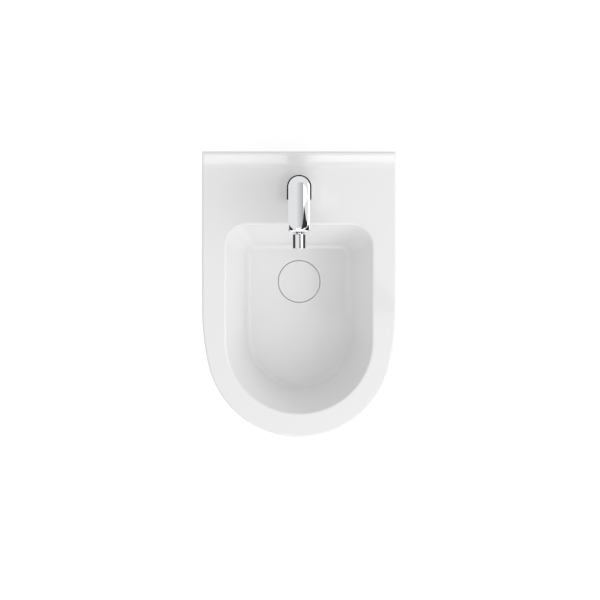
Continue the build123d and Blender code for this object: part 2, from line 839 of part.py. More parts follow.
# Tap body with its spout
with BuildPart() as tap_body:
    with BuildSketch(tap_plan.offset(tap_base_z)) as tap_outline:
        Circle(tap_radius)
        with Locations((0, -tap_front / 2)):
            Rectangle(2 * tap_radius, tap_front)
        fillet(tap_outline.vertices().group_by(Axis.Y)[0], tap_front_corner)
    extrude(amount=tap_top_z - tap_base_z)
    fillet(tap_body.edges().group_by(Axis.Z)[-1], tap_edge_round)
    with BuildSketch(tap_plan.offset(spout_z - spout_height / 2)) as spout_outline:
        with Locations((0, -spout_length / 2)):
            Rectangle(spout_width, spout_length)
        fillet(spout_outline.vertices().group_by(Axis.Y)[0], spout_corner)
    extrude(amount=spout_height)
    spout_faces = tap_body.faces().filter_by(Axis.Z).filter_by_position(
        Axis.Z, spout_z - spout_height / 2 - near, spout_z + spout_height / 2 + near)
    spout_edges = spout_faces.edges()
    fillet(spout_edges.filter_by_position(Axis.Y, spout_front_y - near, tap_y - tap_front - near),
           spout_edge_round)
    # cartridge chamber, with the thread of its nut
    with BuildSketch(tap_plan.offset(tap_top_z)):
        Circle(chamber_radius)
    extrude(amount=-chamber_depth, mode=Mode.SUBTRACT)
    with BuildSketch(tap_plan.offset(tap_top_z)):
        Circle(nut_thread_radius)
    extrude(amount=-nut_thread_depth, mode=Mode.SUBTRACT)
    # pocket and seal groove in the base
    with BuildSketch(tap_plan.offset(tap_base_z)):
        Circle(tap_pocket_radius)
    extrude(amount=tap_pocket_height, mode=Mode.SUBTRACT)
    with BuildSketch(tap_plan.offset(tap_base_z)):
        Circle(tap_seal_outer_radius)
        Circle(tap_seal_inner_radius, mode=Mode.SUBTRACT)
    extrude(amount=tap_seal_height - tap_seal_proud, mode=Mode.SUBTRACT)
    # threaded inlets and the stud's hole
    with BuildSketch(tap_plan.offset(tap_pocket_z)):
        with Locations(*port_places[:2]):
            Circle(inlet_thread_radius)
        with Locations((0, -stud_forward)):
            Circle(stud_radius + thread_gap)
    extrude(amount=inlet_thread_depth, mode=Mode.SUBTRACT)
    # water ways: two up to the chamber, one down from it and forward along the spout
    with BuildSketch(tap_plan.offset(tap_pocket_z)):
        with Locations(*port_places[:2]):
            Circle(inlet_bore_radius)
    extrude(amount=chamber_z - tap_pocket_z, mode=Mode.SUBTRACT)
    with BuildSketch(tap_plan.offset(spout_z)):
        with Locations(port_places[2]):
            Circle(inlet_bore_radius)
    extrude(amount=chamber_z - spout_z, mode=Mode.SUBTRACT)
    with BuildSketch(nozzle_plan.offset(ball_behind_face)):
        Circle(water_bore_radius)
    extrude(amount=outlet_port_forward - inlet_bore_radius - spout_length, mode=Mode.SUBTRACT)
    with BuildSketch(nozzle_plan.offset(ball_behind_face)):
        Circle(socket_radius)
    extrude(amount=-socket_depth, mode=Mode.SUBTRACT)

with BuildPart() as tap_base_seal:
    with BuildSketch(tap_plan.offset(deck_z)):
        Circle(tap_seal_outer_radius)
        Circle(tap_seal_inner_radius, mode=Mode.SUBTRACT)
    extrude(amount=tap_seal_height)


# Tap fixing under the deck
def horseshoe():
    # round plate with a slot for the hoses and a hole for the stud
    with BuildSketch() as plate:
        Circle(horseshoe_radius)
        with Locations((0, horseshoe_bridge - stud_forward)):
            Rectangle(horseshoe_slot_width, 2 * horseshoe_radius, align=(Align.CENTER, Align.MIN),
                      mode=Mode.SUBTRACT)
        with Locations((0, -stud_forward)):
            Circle(stud_radius + sleeve_gap, mode=Mode.SUBTRACT)
    return plate.sketch


with BuildPart() as tap_stud:
    with BuildSketch(tap_plan.offset(tap_pocket_z + stud_grip)):
        with Locations((0, -stud_forward)):
            Circle(stud_radius)
    extrude(amount=-stud_length)

with BuildPart() as horseshoe_gasket:
    with BuildSketch(tap_plan.offset(deck_under_z)):
        add(horseshoe())
    extrude(amount=-horseshoe_gasket_thickness)

with BuildPart() as horseshoe_washer:
    with BuildSketch(tap_plan.offset(deck_under_z - horseshoe_gasket_thickness)):
        add(horseshoe())
    extrude(amount=-horseshoe_washer_thickness)

with BuildPart() as stud_nut:
    nut_top_z = deck_under_z - horseshoe_gasket_thickness - horseshoe_washer_thickness
    with BuildSketch(tap_plan.offset(nut_top_z)):
        with Locations((0, -stud_forward)):
            RegularPolygon(stud_nut_flats / 2, 6, major_radius=False)
            Circle(stud_radius + thread_gap, mode=Mode.SUBTRACT)
    extrude(amount=-stud_nut_height)

# Cartridge, from the chamber's floor up
with BuildPart() as cartridge_base:
    with BuildSketch(tap_plan.offset(base_under_z)):
        Circle(cartridge_radius)
        with Locations(*port_places):
            Circle(port_radius, mode=Mode.SUBTRACT)
    extrude(amount=cartridge_base_height)
    with BuildSketch(tap_plan.offset(base_under_z)):
        with Locations(*port_places):
            Circle(port_seal_outer_radius)
        with Locations(*port_places):
            Circle(port_seal_inner_radius, mode=Mode.SUBTRACT)
    extrude(amount=port_seal_height - port_seal_proud, mode=Mode.SUBTRACT)

with BuildPart() as cartridge_port_seals:
    with BuildSketch(tap_plan.offset(chamber_z)):
        with Locations(*port_places):
            Circle(port_seal_outer_radius)
        with Locations(*port_places):
            Circle(port_seal_inner_radius, mode=Mode.SUBTRACT)
    extrude(amount=port_seal_height)

with BuildPart() as fixed_disc:
    with BuildSketch(tap_plan.offset(fixed_disc_z)):
        Circle(fixed_disc_radius)
        with Locations(*port_places):
            Circle(port_radius, mode=Mode.SUBTRACT)
    extrude(amount=fixed_disc_height)

with BuildPart() as moving_disc:
    with BuildSketch(tap_plan.offset(moving_disc_z)):
        Circle(moving_disc_radius)
    extrude(amount=moving_disc_height)
    with BuildSketch(tap_plan.offset(moving_disc_z)):
        Circle(moving_disc_hollow_radius)
    extrude(amount=moving_disc_hollow, mode=Mode.SUBTRACT)

with BuildPart() as disc_carrier:
    with BuildSketch(tap_plan.offset(carrier_z)):
        Circle(moving_disc_radius)
    extrude(amount=carrier_height)
    with BuildSketch(tap_plan.offset(stem_ball_z - stem_ball_radius - stem_ball_gap)):
        Circle(stem_ball_radius + stem_ball_gap)
    extrude(amount=carrier_height, mode=Mode.SUBTRACT)

with BuildPart() as cartridge_housing:
    with BuildSketch(tap_plan.offset(fixed_disc_z)):
        Circle(cartridge_radius)
        Circle(housing_bore_radius, mode=Mode.SUBTRACT)
    extrude(amount=housing_height)
    with BuildSketch(tap_plan.offset(housing_top_z - housing_roof)):
        Circle(housing_neck_radius)
        Circle(housing_neck_bore_radius, mode=Mode.SUBTRACT)
    extrude(amount=housing_roof + housing_neck_height)

with BuildPart() as cartridge_nut:
    with BuildSketch(tap_plan.offset(housing_top_z)):
        Circle(nut_thread_radius - thread_gap)
        Circle(cartridge_nut_bore_radius, mode=Mode.SUBTRACT)
    extrude(amount=cartridge_nut_height)
    with BuildSketch(tap_plan.offset(housing_top_z + cartridge_nut_height)):
        with PolarLocations(nut_thread_radius, cartridge_nut_notches):
            Rectangle(nut_thread_radius, cartridge_nut_notch_width)
    extrude(amount=-cartridge_nut_notch_depth, mode=Mode.SUBTRACT)

with BuildPart() as cartridge_rotor:
    with BuildSketch(tap_plan.offset(rotor_z)):
        Circle(rotor_flange_radius)
    extrude(amount=rotor_flange_height)
    with BuildSketch(tap_plan.offset(rotor_z)):
        Circle(rotor_radius)
    extrude(amount=rotor_height)
    with BuildSketch(tap_plan.offset(rotor_z)):
        Rectangle(stem_width + 2 * rotor_slot_gap, rotor_slot_length)
    extrude(amount=rotor_height, mode=Mode.SUBTRACT)
    with BuildSketch(Plane.YZ):
        with Locations((tap_y, pivot_z)):
            Circle(pin_radius)
    extrude(amount=pin_length / 2, both=True, mode=Mode.SUBTRACT)

with BuildPart() as stem_pin:
    with BuildSketch(Plane.YZ):
        with Locations((tap_y, pivot_z)):
            Circle(pin_radius)
    extrude(amount=pin_length / 2, both=True)

with BuildPart() as lever_stem:
    shoulder_z = pivot_z - stem_shoulder_drop
    with BuildSketch(tap_side):
        with BuildLine():
            Line((0, stem_ball_z - stem_ball_radius), (0, shoulder_z))
            Line((0, shoulder_z), (stem_neck_radius, shoulder_z))
            ball_lift = math.sqrt(stem_ball_radius**2 - stem_neck_radius**2)
            Line((stem_neck_radius, shoulder_z), (stem_neck_radius, stem_ball_z + ball_lift))
            ball_turn = math.degrees(math.atan2(ball_lift, stem_neck_radius))
            CenterArc((0, stem_ball_z), stem_ball_radius, -90, 90 + ball_turn)
        make_face()
    revolve(axis=tap_axis)
    with BuildSketch(tap_plan.offset(shoulder_z)):
        Rectangle(stem_width, stem_width)
    extrude(amount=stem_top_z - shoulder_z)
    with BuildSketch(Plane.YZ):
        with Locations((tap_y, pivot_z)):
            Circle(pin_radius + pin_gap)
    extrude(amount=stem_width, both=True, mode=Mode.SUBTRACT)

with BuildPart() as cartridge_cap:
    dome_bore = cap_dome_radius - cap_thickness
    flange_bore = math.sqrt(dome_bore**2 - pivot_drop**2)
    with BuildSketch(tap_side):
        with Locations((0, pivot_z)):
            Circle(cap_dome_radius)
            Circle(dome_bore, mode=Mode.SUBTRACT)
        with Locations((cap_opening_radius, tap_top_z)):
            Rectangle(cap_dome_radius, cap_dome_radius, align=(Align.MIN, Align.MIN),
                      mode=Mode.INTERSECT)
        with Locations((flange_bore, tap_top_z)):
            Rectangle(cap_flange_radius - flange_bore, cap_thickness, align=(Align.MIN, Align.MIN))
    revolve(axis=tap_axis)

# Lever with its hub
with BuildPart() as lever:
    with BuildSketch(tap_plan.offset(lever_under_z)):
        with Locations((0, lever_radius - lever_length / 2)):
            SlotOverall(lever_length, 2 * lever_radius, rotation=90)
    extrude(amount=lever_thickness)
    # the top slopes down to the tip
    with BuildSketch(Plane.YZ):
        with BuildLine():
            Polyline(
                (tap_y + lever_radius, lever_under_z + lever_thickness),
                (tap_y + lever_radius - lever_length, lever_under_z + lever_tip_thickness),
                (tap_y + lever_radius - lever_length, lever_under_z + lever_thickness),
                close=True,
            )
        make_face()
    extrude(amount=lever_radius, both=True, mode=Mode.SUBTRACT)
    fillet(lever.faces().sort_by(Axis.Z)[-1].edges(), lever_edge_round)
    fillet(lever.edges().group_by(Axis.Z)[0], lever_under_round)
    with BuildSketch(tap_plan.offset(lever_hub_z)):
        Circle(lever_hub_radius)
    extrude(amount=lever_hub_height)
    with BuildSketch(tap_plan.offset(lever_hub_z)):
        Rectangle(stem_width + 2 * lever_fit_gap, stem_width + 2 * lever_fit_gap)
    extrude(amount=stem_top_z + lever_fit_gap - lever_hub_z, mode=Mode.SUBTRACT)
    with BuildSketch(tap_side):
        with Locations((0, grub_z)):
            Circle(grub_radius + thread_gap)
    extrude(amount=-lever_radius - over_cut, mode=Mode.SUBTRACT)

with BuildPart() as lever_grub_screw:
    with BuildSketch(tap_side.offset(-stem_width / 2)):
        with Locations((0, grub_z)):
            Circle(grub_radius)
    extrude(amount=-grub_length)
    with BuildSketch(tap_side.offset(-stem_width / 2 - grub_length)):
        with Locations((0, grub_z)):
            RegularPolygon(grub_radius / 2, 6, major_radius=False)
    extrude(amount=grub_radius, mode=Mode.SUBTRACT)

with BuildPart() as lever_indicator:
    with BuildSketch(tap_side.offset(indicator_inset - lever_radius)):
        with Locations((0, grub_z)):
            Circle(grub_radius)
    extrude(amount=indicator_length)


# Ball joint of the nozzle, on its own axis from the ball's centre forward
def ball_ring(rear, front, ball_bore, outer):
    # ring round the ball: a spherical bore in a plain rim
    with BuildSketch(nozzle_side) as section:
        with Locations((rear, 0)):
            Rectangle(front - rear, outer, align=(Align.MIN, Align.MIN))
        Circle(ball_bore, mode=Mode.SUBTRACT)
    return section.sketch


with BuildPart() as ball_seal:
    add(ball_ring(ball_behind_face - socket_depth, -seat_rear, ball_radius + ball_seal_gap,
                  socket_radius - seat_gap))
    revolve(axis=nozzle_axis)

with BuildPart() as ball_seat_ring:
    add(ball_ring(-seat_rear, seat_front, ball_radius + ball_seat_gap, socket_radius - seat_gap))
    revolve(axis=nozzle_axis)

with BuildPart() as ball_retaining_ring:
    add(ball_ring(seat_front + ring_gap, ball_behind_face, ball_radius + ball_ring_gap,
                  socket_radius - thread_gap))
    revolve(axis=nozzle_axis)

nozzle_rear = ball_behind_face + nozzle_gap
nozzle_step = nozzle_rear + nozzle_boss_length
nozzle_end = nozzle_rear + nozzle_length
with BuildPart() as nozzle_ball:
    with BuildSketch(nozzle_side):
        Circle(ball_radius)
        with Locations((-ball_rear_cut, 0)):
            Rectangle(ball_rear_cut + ball_radius, ball_radius, align=(Align.MIN, Align.MIN),
                      mode=Mode.INTERSECT)
        Rectangle(nozzle_step, neck_radius, align=(Align.MIN, Align.MIN))
        with Locations((nozzle_rear, 0)):
            Rectangle(nozzle_boss_length, nozzle_boss_radius, align=(Align.MIN, Align.MIN))
        with Locations((-ball_radius, 0)):
            Rectangle(ball_radius + nozzle_step, nozzle_bore_radius, align=(Align.MIN, Align.MIN),
                      mode=Mode.SUBTRACT)
    revolve(axis=nozzle_axis)

with BuildPart() as nozzle_shell:
    with BuildSketch(nozzle_plan.offset(nozzle_rear)):
        Circle(nozzle_radius)
    extrude(amount=nozzle_length)
    fillet(nozzle_shell.edges(), nozzle_edge_round)
    with BuildSketch(nozzle_plan.offset(nozzle_rear)):
        Circle(nozzle_boss_radius + thread_gap)
    extrude(amount=nozzle_boss_length, mode=Mode.SUBTRACT)
    with BuildSketch(nozzle_plan.offset(nozzle_step)):
        Circle(nozzle_radius - nozzle_wall)
    extrude(amount=nozzle_length, mode=Mode.SUBTRACT)

with BuildPart() as nozzle_gasket:
    with BuildSketch(nozzle_plan.offset(nozzle_step)):
        Circle(nozzle_radius - nozzle_wall - socket_gap)
        Circle(nozzle_gasket_bore_radius, mode=Mode.SUBTRACT)
    extrude(amount=nozzle_gasket_thickness)

with BuildPart() as flow_straightener:
    straightener_rear = nozzle_step + nozzle_gasket_thickness
    with BuildSketch(nozzle_plan.offset(straightener_rear)):
        Circle(nozzle_radius - nozzle_wall - socket_gap)
        Circle(straightener_hole_radius, mode=Mode.SUBTRACT)
        for ring in range(1, straightener_rings + 1):
            with PolarLocations(ring * straightener_ring_step, ring * straightener_holes_per_step):
                Circle(straightener_hole_radius, mode=Mode.SUBTRACT)
    extrude(amount=nozzle_end - straightener_inset - straightener_rear)

pieces = {
    "basin_deck": basin_deck,
    "basin_bowl": basin_bowl,
    "basin_skirt": basin_skirt,
    "fixing_sleeves": fixing_sleeves,
    "fixing_washers": fixing_washers,
    "fixing_nuts": fixing_nuts,
    "waste_body": waste_body,
    "waste_seal": waste_seal,
    "waste_lower_washer": waste_lower_washer,
    "waste_back_nut": waste_back_nut,
    "plug_guide": plug_guide,
    "click_latch": click_latch,
    "plug_stem": plug_stem,
    "plug_seal": plug_seal,
    "plug_spring": plug_spring,
    "drain_cover": drain_cover,
    "trap_inlet_nut": trap_inlet_nut,
    "trap_inlet_washer": trap_inlet_washer,
    "trap_head": trap_head,
    "trap_dip_tube": trap_dip_tube,
    "trap_cup_seal": trap_cup_seal,
    "trap_cup": trap_cup,
    "trap_outlet_washer": trap_outlet_washer,
    "trap_outlet_nut": trap_outlet_nut,
    "trap_outlet_pipe": trap_outlet_pipe,
    "tap_body": tap_body,
    "tap_base_seal": tap_base_seal,
    "tap_stud": tap_stud,
    "horseshoe_gasket": horseshoe_gasket,
    "horseshoe_washer": horseshoe_washer,
    "stud_nut": stud_nut,
    "cartridge_base": cartridge_base,
    "cartridge_port_seals": cartridge_port_seals,
    "fixed_disc": fixed_disc,
    "moving_disc": moving_disc,
    "disc_carrier": disc_carrier,
    "cartridge_housing": cartridge_housing,
    "cartridge_nut": cartridge_nut,
    "cartridge_rotor": cartridge_rotor,
    "stem_pin": stem_pin,
    "lever_stem": lever_stem,
    "cartridge_cap": cartridge_cap,
    "lever": lever,
    "lever_grub_screw": lever_grub_screw,
    "lever_indicator": lever_indicator,
    "ball_seal": ball_seal,
    "ball_seat_ring": ball_seat_ring,
    "ball_retaining_ring": ball_retaining_ring,
    "nozzle_ball": nozzle_ball,
    "nozzle_shell": nozzle_shell,
    "nozzle_gasket": nozzle_gasket,
    "flow_straightener": flow_straightener,
}
for name, piece in pieces.items():
    piece.part.label = name
    export_step(piece.part, f"parts/{name}.step")
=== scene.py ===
import math

import bmesh
import bpy
from mathutils import Matrix, Vector


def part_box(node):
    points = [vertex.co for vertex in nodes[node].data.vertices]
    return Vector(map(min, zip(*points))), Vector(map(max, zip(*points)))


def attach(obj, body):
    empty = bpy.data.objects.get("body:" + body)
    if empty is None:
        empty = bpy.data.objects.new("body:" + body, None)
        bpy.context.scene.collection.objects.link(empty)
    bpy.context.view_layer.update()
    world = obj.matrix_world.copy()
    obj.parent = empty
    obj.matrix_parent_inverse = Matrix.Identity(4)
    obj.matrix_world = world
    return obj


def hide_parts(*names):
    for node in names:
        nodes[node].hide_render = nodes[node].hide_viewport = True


# Wall hung bidet seen from straight above: glazed basin, chrome tap, push waste and bottle trap.
# The wall is the plane Y = 0, the nose points along -Y and Z is up. Sizes are in metres.
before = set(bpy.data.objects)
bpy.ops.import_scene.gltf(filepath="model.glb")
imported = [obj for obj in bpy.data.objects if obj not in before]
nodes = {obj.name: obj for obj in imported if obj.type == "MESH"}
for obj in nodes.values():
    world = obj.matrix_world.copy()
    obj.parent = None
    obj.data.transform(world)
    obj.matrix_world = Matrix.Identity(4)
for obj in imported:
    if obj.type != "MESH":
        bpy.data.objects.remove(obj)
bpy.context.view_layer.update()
print("frame loaded with", len(nodes), "nodes")


# Points, outlines and skins

mergeDistance = 1e-6
turnSegments = 96
faceWeight = 80
upwards = (0, 0, 1)
wallwards = (0, 1, 0)
# places for a prism: an outline in Y and Z pushed along X, and one in X and Z pushed along -Y
alongX = Matrix(((0, 0, 1, 0), (1, 0, 0, 0), (0, 1, 0, 0), (0, 0, 0, 1)))
alongY = Matrix(((1, 0, 0, 0), (0, 0, -1, 0), (0, 1, 0, 0), (0, 0, 0, 1)))


def evenly(start, end, count):
    # count values at even steps, the first just after start and the last at end
    return [start + (end - start) * k / count for k in range(1, count + 1)]


def quarter(steps, end=90):
    # angles from 0 to end degrees, in radians
    return [math.radians(end * k / steps) for k in range(steps + 1)]


def arcPoints(centreX, centreY, radius, start, end, steps):
    # angles in degrees, both ends included
    angles = [math.radians(start + (end - start) * k / steps) for k in range(steps + 1)]
    return [(centreX + radius * math.cos(a), centreY + radius * math.sin(a)) for a in angles]


def resample(path, count):
    # count + 1 points at even steps along a path of plain points
    lengths = [0.0]
    for a, b in zip(path, path[1:]):
        lengths.append(lengths[-1] + math.dist(a, b))
    result = []
    leg = 0
    for k in range(count + 1):
        wanted = lengths[-1] * k / count
        while leg < len(path) - 2 and lengths[leg + 1] < wanted:
            leg += 1
        share = (wanted - lengths[leg]) / (lengths[leg + 1] - lengths[leg])
        a, b = path[leg], path[leg + 1]
        result.append((a[0] + (b[0] - a[0]) * share, a[1] + (b[1] - a[1]) * share))
    return result


def roundedLoop(corners, steps):
    # closed outline from (x, y, radius) corners; a rounded one has steps + 1 points
    points = []
    for k, (x, y, radius) in enumerate(corners):
        corner = Vector((x, y))
        if radius <= 0:
            points.append((x, y))
            continue
        toLast = (Vector(corners[k - 1][:2]) - corner).normalized()
        toNext = (Vector(corners[(k + 1) % len(corners)][:2]) - corner).normalized()
        half = toLast.angle(toNext) / 2
        centre = corner + (toLast + toNext).normalized() * radius / math.sin(half)
        start = corner + toLast * radius / math.tan(half) - centre
        end = corner + toNext * radius / math.tan(half) - centre
        turn = start.angle_signed(end)
        for step in range(steps + 1):
            spoke = start.copy()
            spoke.rotate(Matrix.Rotation(-turn * step / steps, 2))
            points.append(tuple(centre + spoke))
    return points


def newPiece(name, points, faces):
    mesh = bpy.data.meshes.new(name)
    mesh.from_pydata(points, [], faces)
    piece = bpy.data.objects.new(name, mesh)
    bpy.context.scene.collection.objects.link(piece)
    return piece


def tidyMesh(piece, merge=mergeDistance):
    # merge doubles and turn every face outwards
    work = bmesh.new()
    work.from_mesh(piece.data)
    bmesh.ops.remove_doubles(work, verts=work.verts, dist=merge)
    bmesh.ops.dissolve_degenerate(work, edges=work.edges, dist=merge / 4)
    bmesh.ops.recalc_face_normals(work, faces=work.faces)
    work.to_mesh(piece.data)
    work.free()


def ringFaces(rows, count, joined=False):
    # faces between rows of count points each; joined closes the last row on the first
    faces = []
    for i in range(rows if joined else rows - 1):
        low, high = i * count, (i + 1) % rows * count
        faces += [(low + j, low + (j + 1) % count, high + (j + 1) % count, high + j) for j in range(count)]
    return faces


def skin(name, rings, joined=False, caps=False):
    count = len(rings[0])
    points = [point for ring in rings for point in ring]
    faces = ringFaces(len(rings), count, joined)
    if caps:
        faces.append(tuple(reversed(range(count))))
        faces.append(tuple(range(len(points) - count, len(points))))
    piece = newPiece(name, points, faces)
    tidyMesh(piece)
    return piece


def lathe(name, profile, origin, axis):
    # closed (along, radius) profile turned round an axis
    turn = Vector(upwards).rotation_difference(Vector(axis)).to_matrix()
    rings = []
    for along, radius in profile:
        ring = []
        for k in range(turnSegments):
            a = math.tau * k / turnSegments
            spot = turn @ Vector((radius * math.cos(a), radius * math.sin(a), along))
            ring.append(tuple(Vector(origin) + spot))
        rings.append(ring)
    return skin(name, rings, joined=True)


def roundCutter(name, radius, low, high, origin, axis):
    return lathe(name, [(low, 0.0), (low, radius), (high, radius), (high, 0.0)], origin, axis)


def prism(name, outline, low, high, place=None):
    # an outline pushed from low to high along Z, then placed by a matrix
    rings = [[(x, y, z) for x, y in outline] for z in (low, high)]
    piece = skin(name, rings, caps=True)
    if place:
        piece.data.transform(place)
    return piece


def applyModifiers(piece):
    seen = piece.evaluated_get(bpy.context.evaluated_depsgraph_get())
    mesh = bpy.data.meshes.new_from_object(seen)
    piece.modifiers.clear()
    piece.data = mesh


def combine(piece, tools, how):
    # exact booleans with each tool in turn; the tools are used up
    for tool in tools:
        change = piece.modifiers.new("change", "BOOLEAN")
        change.solver = "EXACT"
        change.operation = how
        change.object = tool
        applyModifiers(piece)
        bpy.data.objects.remove(tool)


def setMaterials(piece, *materials):
    piece.data.materials.clear()
    for material in materials:
        piece.data.materials.append(material)


def finishPiece(piece, body, replaced, sharpAngle):
    # smooth faces, with edges kept sharp past an angle in degrees
    for face in piece.data.polygons:
        face.use_smooth = True
    piece.data.set_sharp_from_angle(angle=math.radians(sharpAngle))
    even = piece.modifiers.new("even shading", "WEIGHTED_NORMAL")
    even.keep_sharp = True
    even.weight = faceWeight
    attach(piece, body)
    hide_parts(*replaced)
    print("made", piece.name, len(piece.data.polygons), "faces")


# Shader groups: each puts out one value or one height over the surface

noiseDetail = {"broad": 1.0, "peel": 2.0, "drift": 3.0, "grain": 4.0}


def newGroup(name, inputs, output):
    group = bpy.data.node_groups.new(name, "ShaderNodeTree")
    for label, value in inputs.items():
        socket = group.interface.new_socket(label, in_out="INPUT", socket_type="NodeSocketFloat")
        socket.default_value = value
    group.interface.new_socket(output, in_out="OUTPUT", socket_type="NodeSocketFloat")
    return group, group.nodes.new("NodeGroupInput"), group.nodes.new("NodeGroupOutput")


def addNoise(tree, scaleSocket, detail, stretch=None):
    coordinates = tree.nodes.new("ShaderNodeTexCoord")
    noise = tree.nodes.new("ShaderNodeTexNoise")
    noise.inputs["Detail"].default_value = detail
    source = coordinates.outputs["Object"]
    if stretch:
        mapping = tree.nodes.new("ShaderNodeMapping")
        mapping.inputs["Scale"].default_value = stretch
        tree.links.new(source, mapping.inputs["Vector"])
        source = mapping.outputs["Vector"]
    tree.links.new(source, noise.inputs["Vector"])
    tree.links.new(scaleSocket, noise.inputs["Scale"])
    return noise.outputs["Fac"]


def addMath(tree, how, first, second):
    node = tree.nodes.new("ShaderNodeMath")
    node.operation = how
    for socket, value in zip(node.inputs, (first, second)):
        if isinstance(value, (int, float)):
            socket.default_value = value
        else:
            tree.links.new(value, socket)
    return node.outputs[0]


def rippleGroup():
    # broad unevenness with a finer peel on top, as a height in metres
    inputs = {"Broad": 9.0, "Fine": 160.0, "Depth": 1e-4, "Peel": 4e-6}
    group, given, result = newGroup("ripple", inputs, "Height")
    broadNoise = addNoise(group, given.outputs["Broad"], noiseDetail["broad"])
    broad = addMath(group, "MULTIPLY", broadNoise, given.outputs["Depth"])
    fineNoise = addNoise(group, given.outputs["Fine"], noiseDetail["peel"])
    fine = addMath(group, "MULTIPLY", fineNoise, given.outputs["Peel"])
    height = addMath(group, "ADD", broad, fine)
    group.links.new(height, result.inputs["Height"])
    return group


def driftGroup():
    # slow change between two values over the surface
    group, given, result = newGroup("drift", {"Scale": 12.0, "Low": 0.0, "High": 1.0}, "Value")
    noise = addNoise(group, given.outputs["Scale"], noiseDetail["drift"])
    span = addMath(group, "SUBTRACT", given.outputs["High"], given.outputs["Low"])
    rise = addMath(group, "MULTIPLY", noise, span)
    value = addMath(group, "ADD", given.outputs["Low"], rise)
    group.links.new(value, result.inputs["Value"])
    return group


def grainGroup(name, stretch):
    # fine grain as a height, drawn out along one direction for brushed metal
    group, given, result = newGroup(name, {"Scale": 900.0, "Depth": 1e-5}, "Height")
    noise = addNoise(group, given.outputs["Scale"], noiseDetail["grain"], stretch)
    height = addMath(group, "MULTIPLY", noise, given.outputs["Depth"])
    group.links.new(height, result.inputs["Height"])
    return group


ripple = rippleGroup()
drift = driftGroup()
grain = grainGroup("grain", (1.0, 1.0, 1.0))
brushed = grainGroup("brushed", (1.0, 1.0, 0.04))


def useGroup(tree, group, values):
    node = tree.nodes.new("ShaderNodeGroup")
    node.node_tree = group
    for label, value in values.items():
        node.inputs[label].default_value = value
    return node


plainLook = {"roughScale": 40.0, "metallic": 0.0, "ior": 1.5, "bump": 1.0}


def newMaterial(name, ownLook):
    # a look holds two colours to drift between, a roughness span, and the surface's height group
    look = {**plainLook, **ownLook}
    material = bpy.data.materials.new(name)
    material.use_nodes = True
    tree = material.node_tree
    shader = tree.nodes["Principled BSDF"]
    tone = useGroup(tree, drift, {"Scale": look["toneScale"]})
    blend = tree.nodes.new("ShaderNodeMix")
    blend.data_type = "RGBA"
    for socket, colour in zip(("A", "B"), look["colours"]):
        blend.inputs[socket].default_value = (*colour, 1)
    tree.links.new(tone.outputs["Value"], blend.inputs["Factor"])
    tree.links.new(blend.outputs["Result"], shader.inputs["Base Color"])
    low, high = look["roughness"]
    rough = useGroup(tree, drift, {"Scale": look["roughScale"], "Low": low, "High": high})
    tree.links.new(rough.outputs["Value"], shader.inputs["Roughness"])
    shader.inputs["Metallic"].default_value = look["metallic"]
    shader.inputs["IOR"].default_value = look["ior"]
    group, values = look["height"]
    height = useGroup(tree, group, values)
    bump = tree.nodes.new("ShaderNodeBump")
    bump.inputs["Strength"].default_value = look["bump"]
    bump.inputs["Distance"].default_value = look["bump"]
    tree.links.new(height.outputs["Height"], bump.inputs["Height"])
    tree.links.new(bump.outputs["Normal"], shader.inputs["Normal"])
    return material


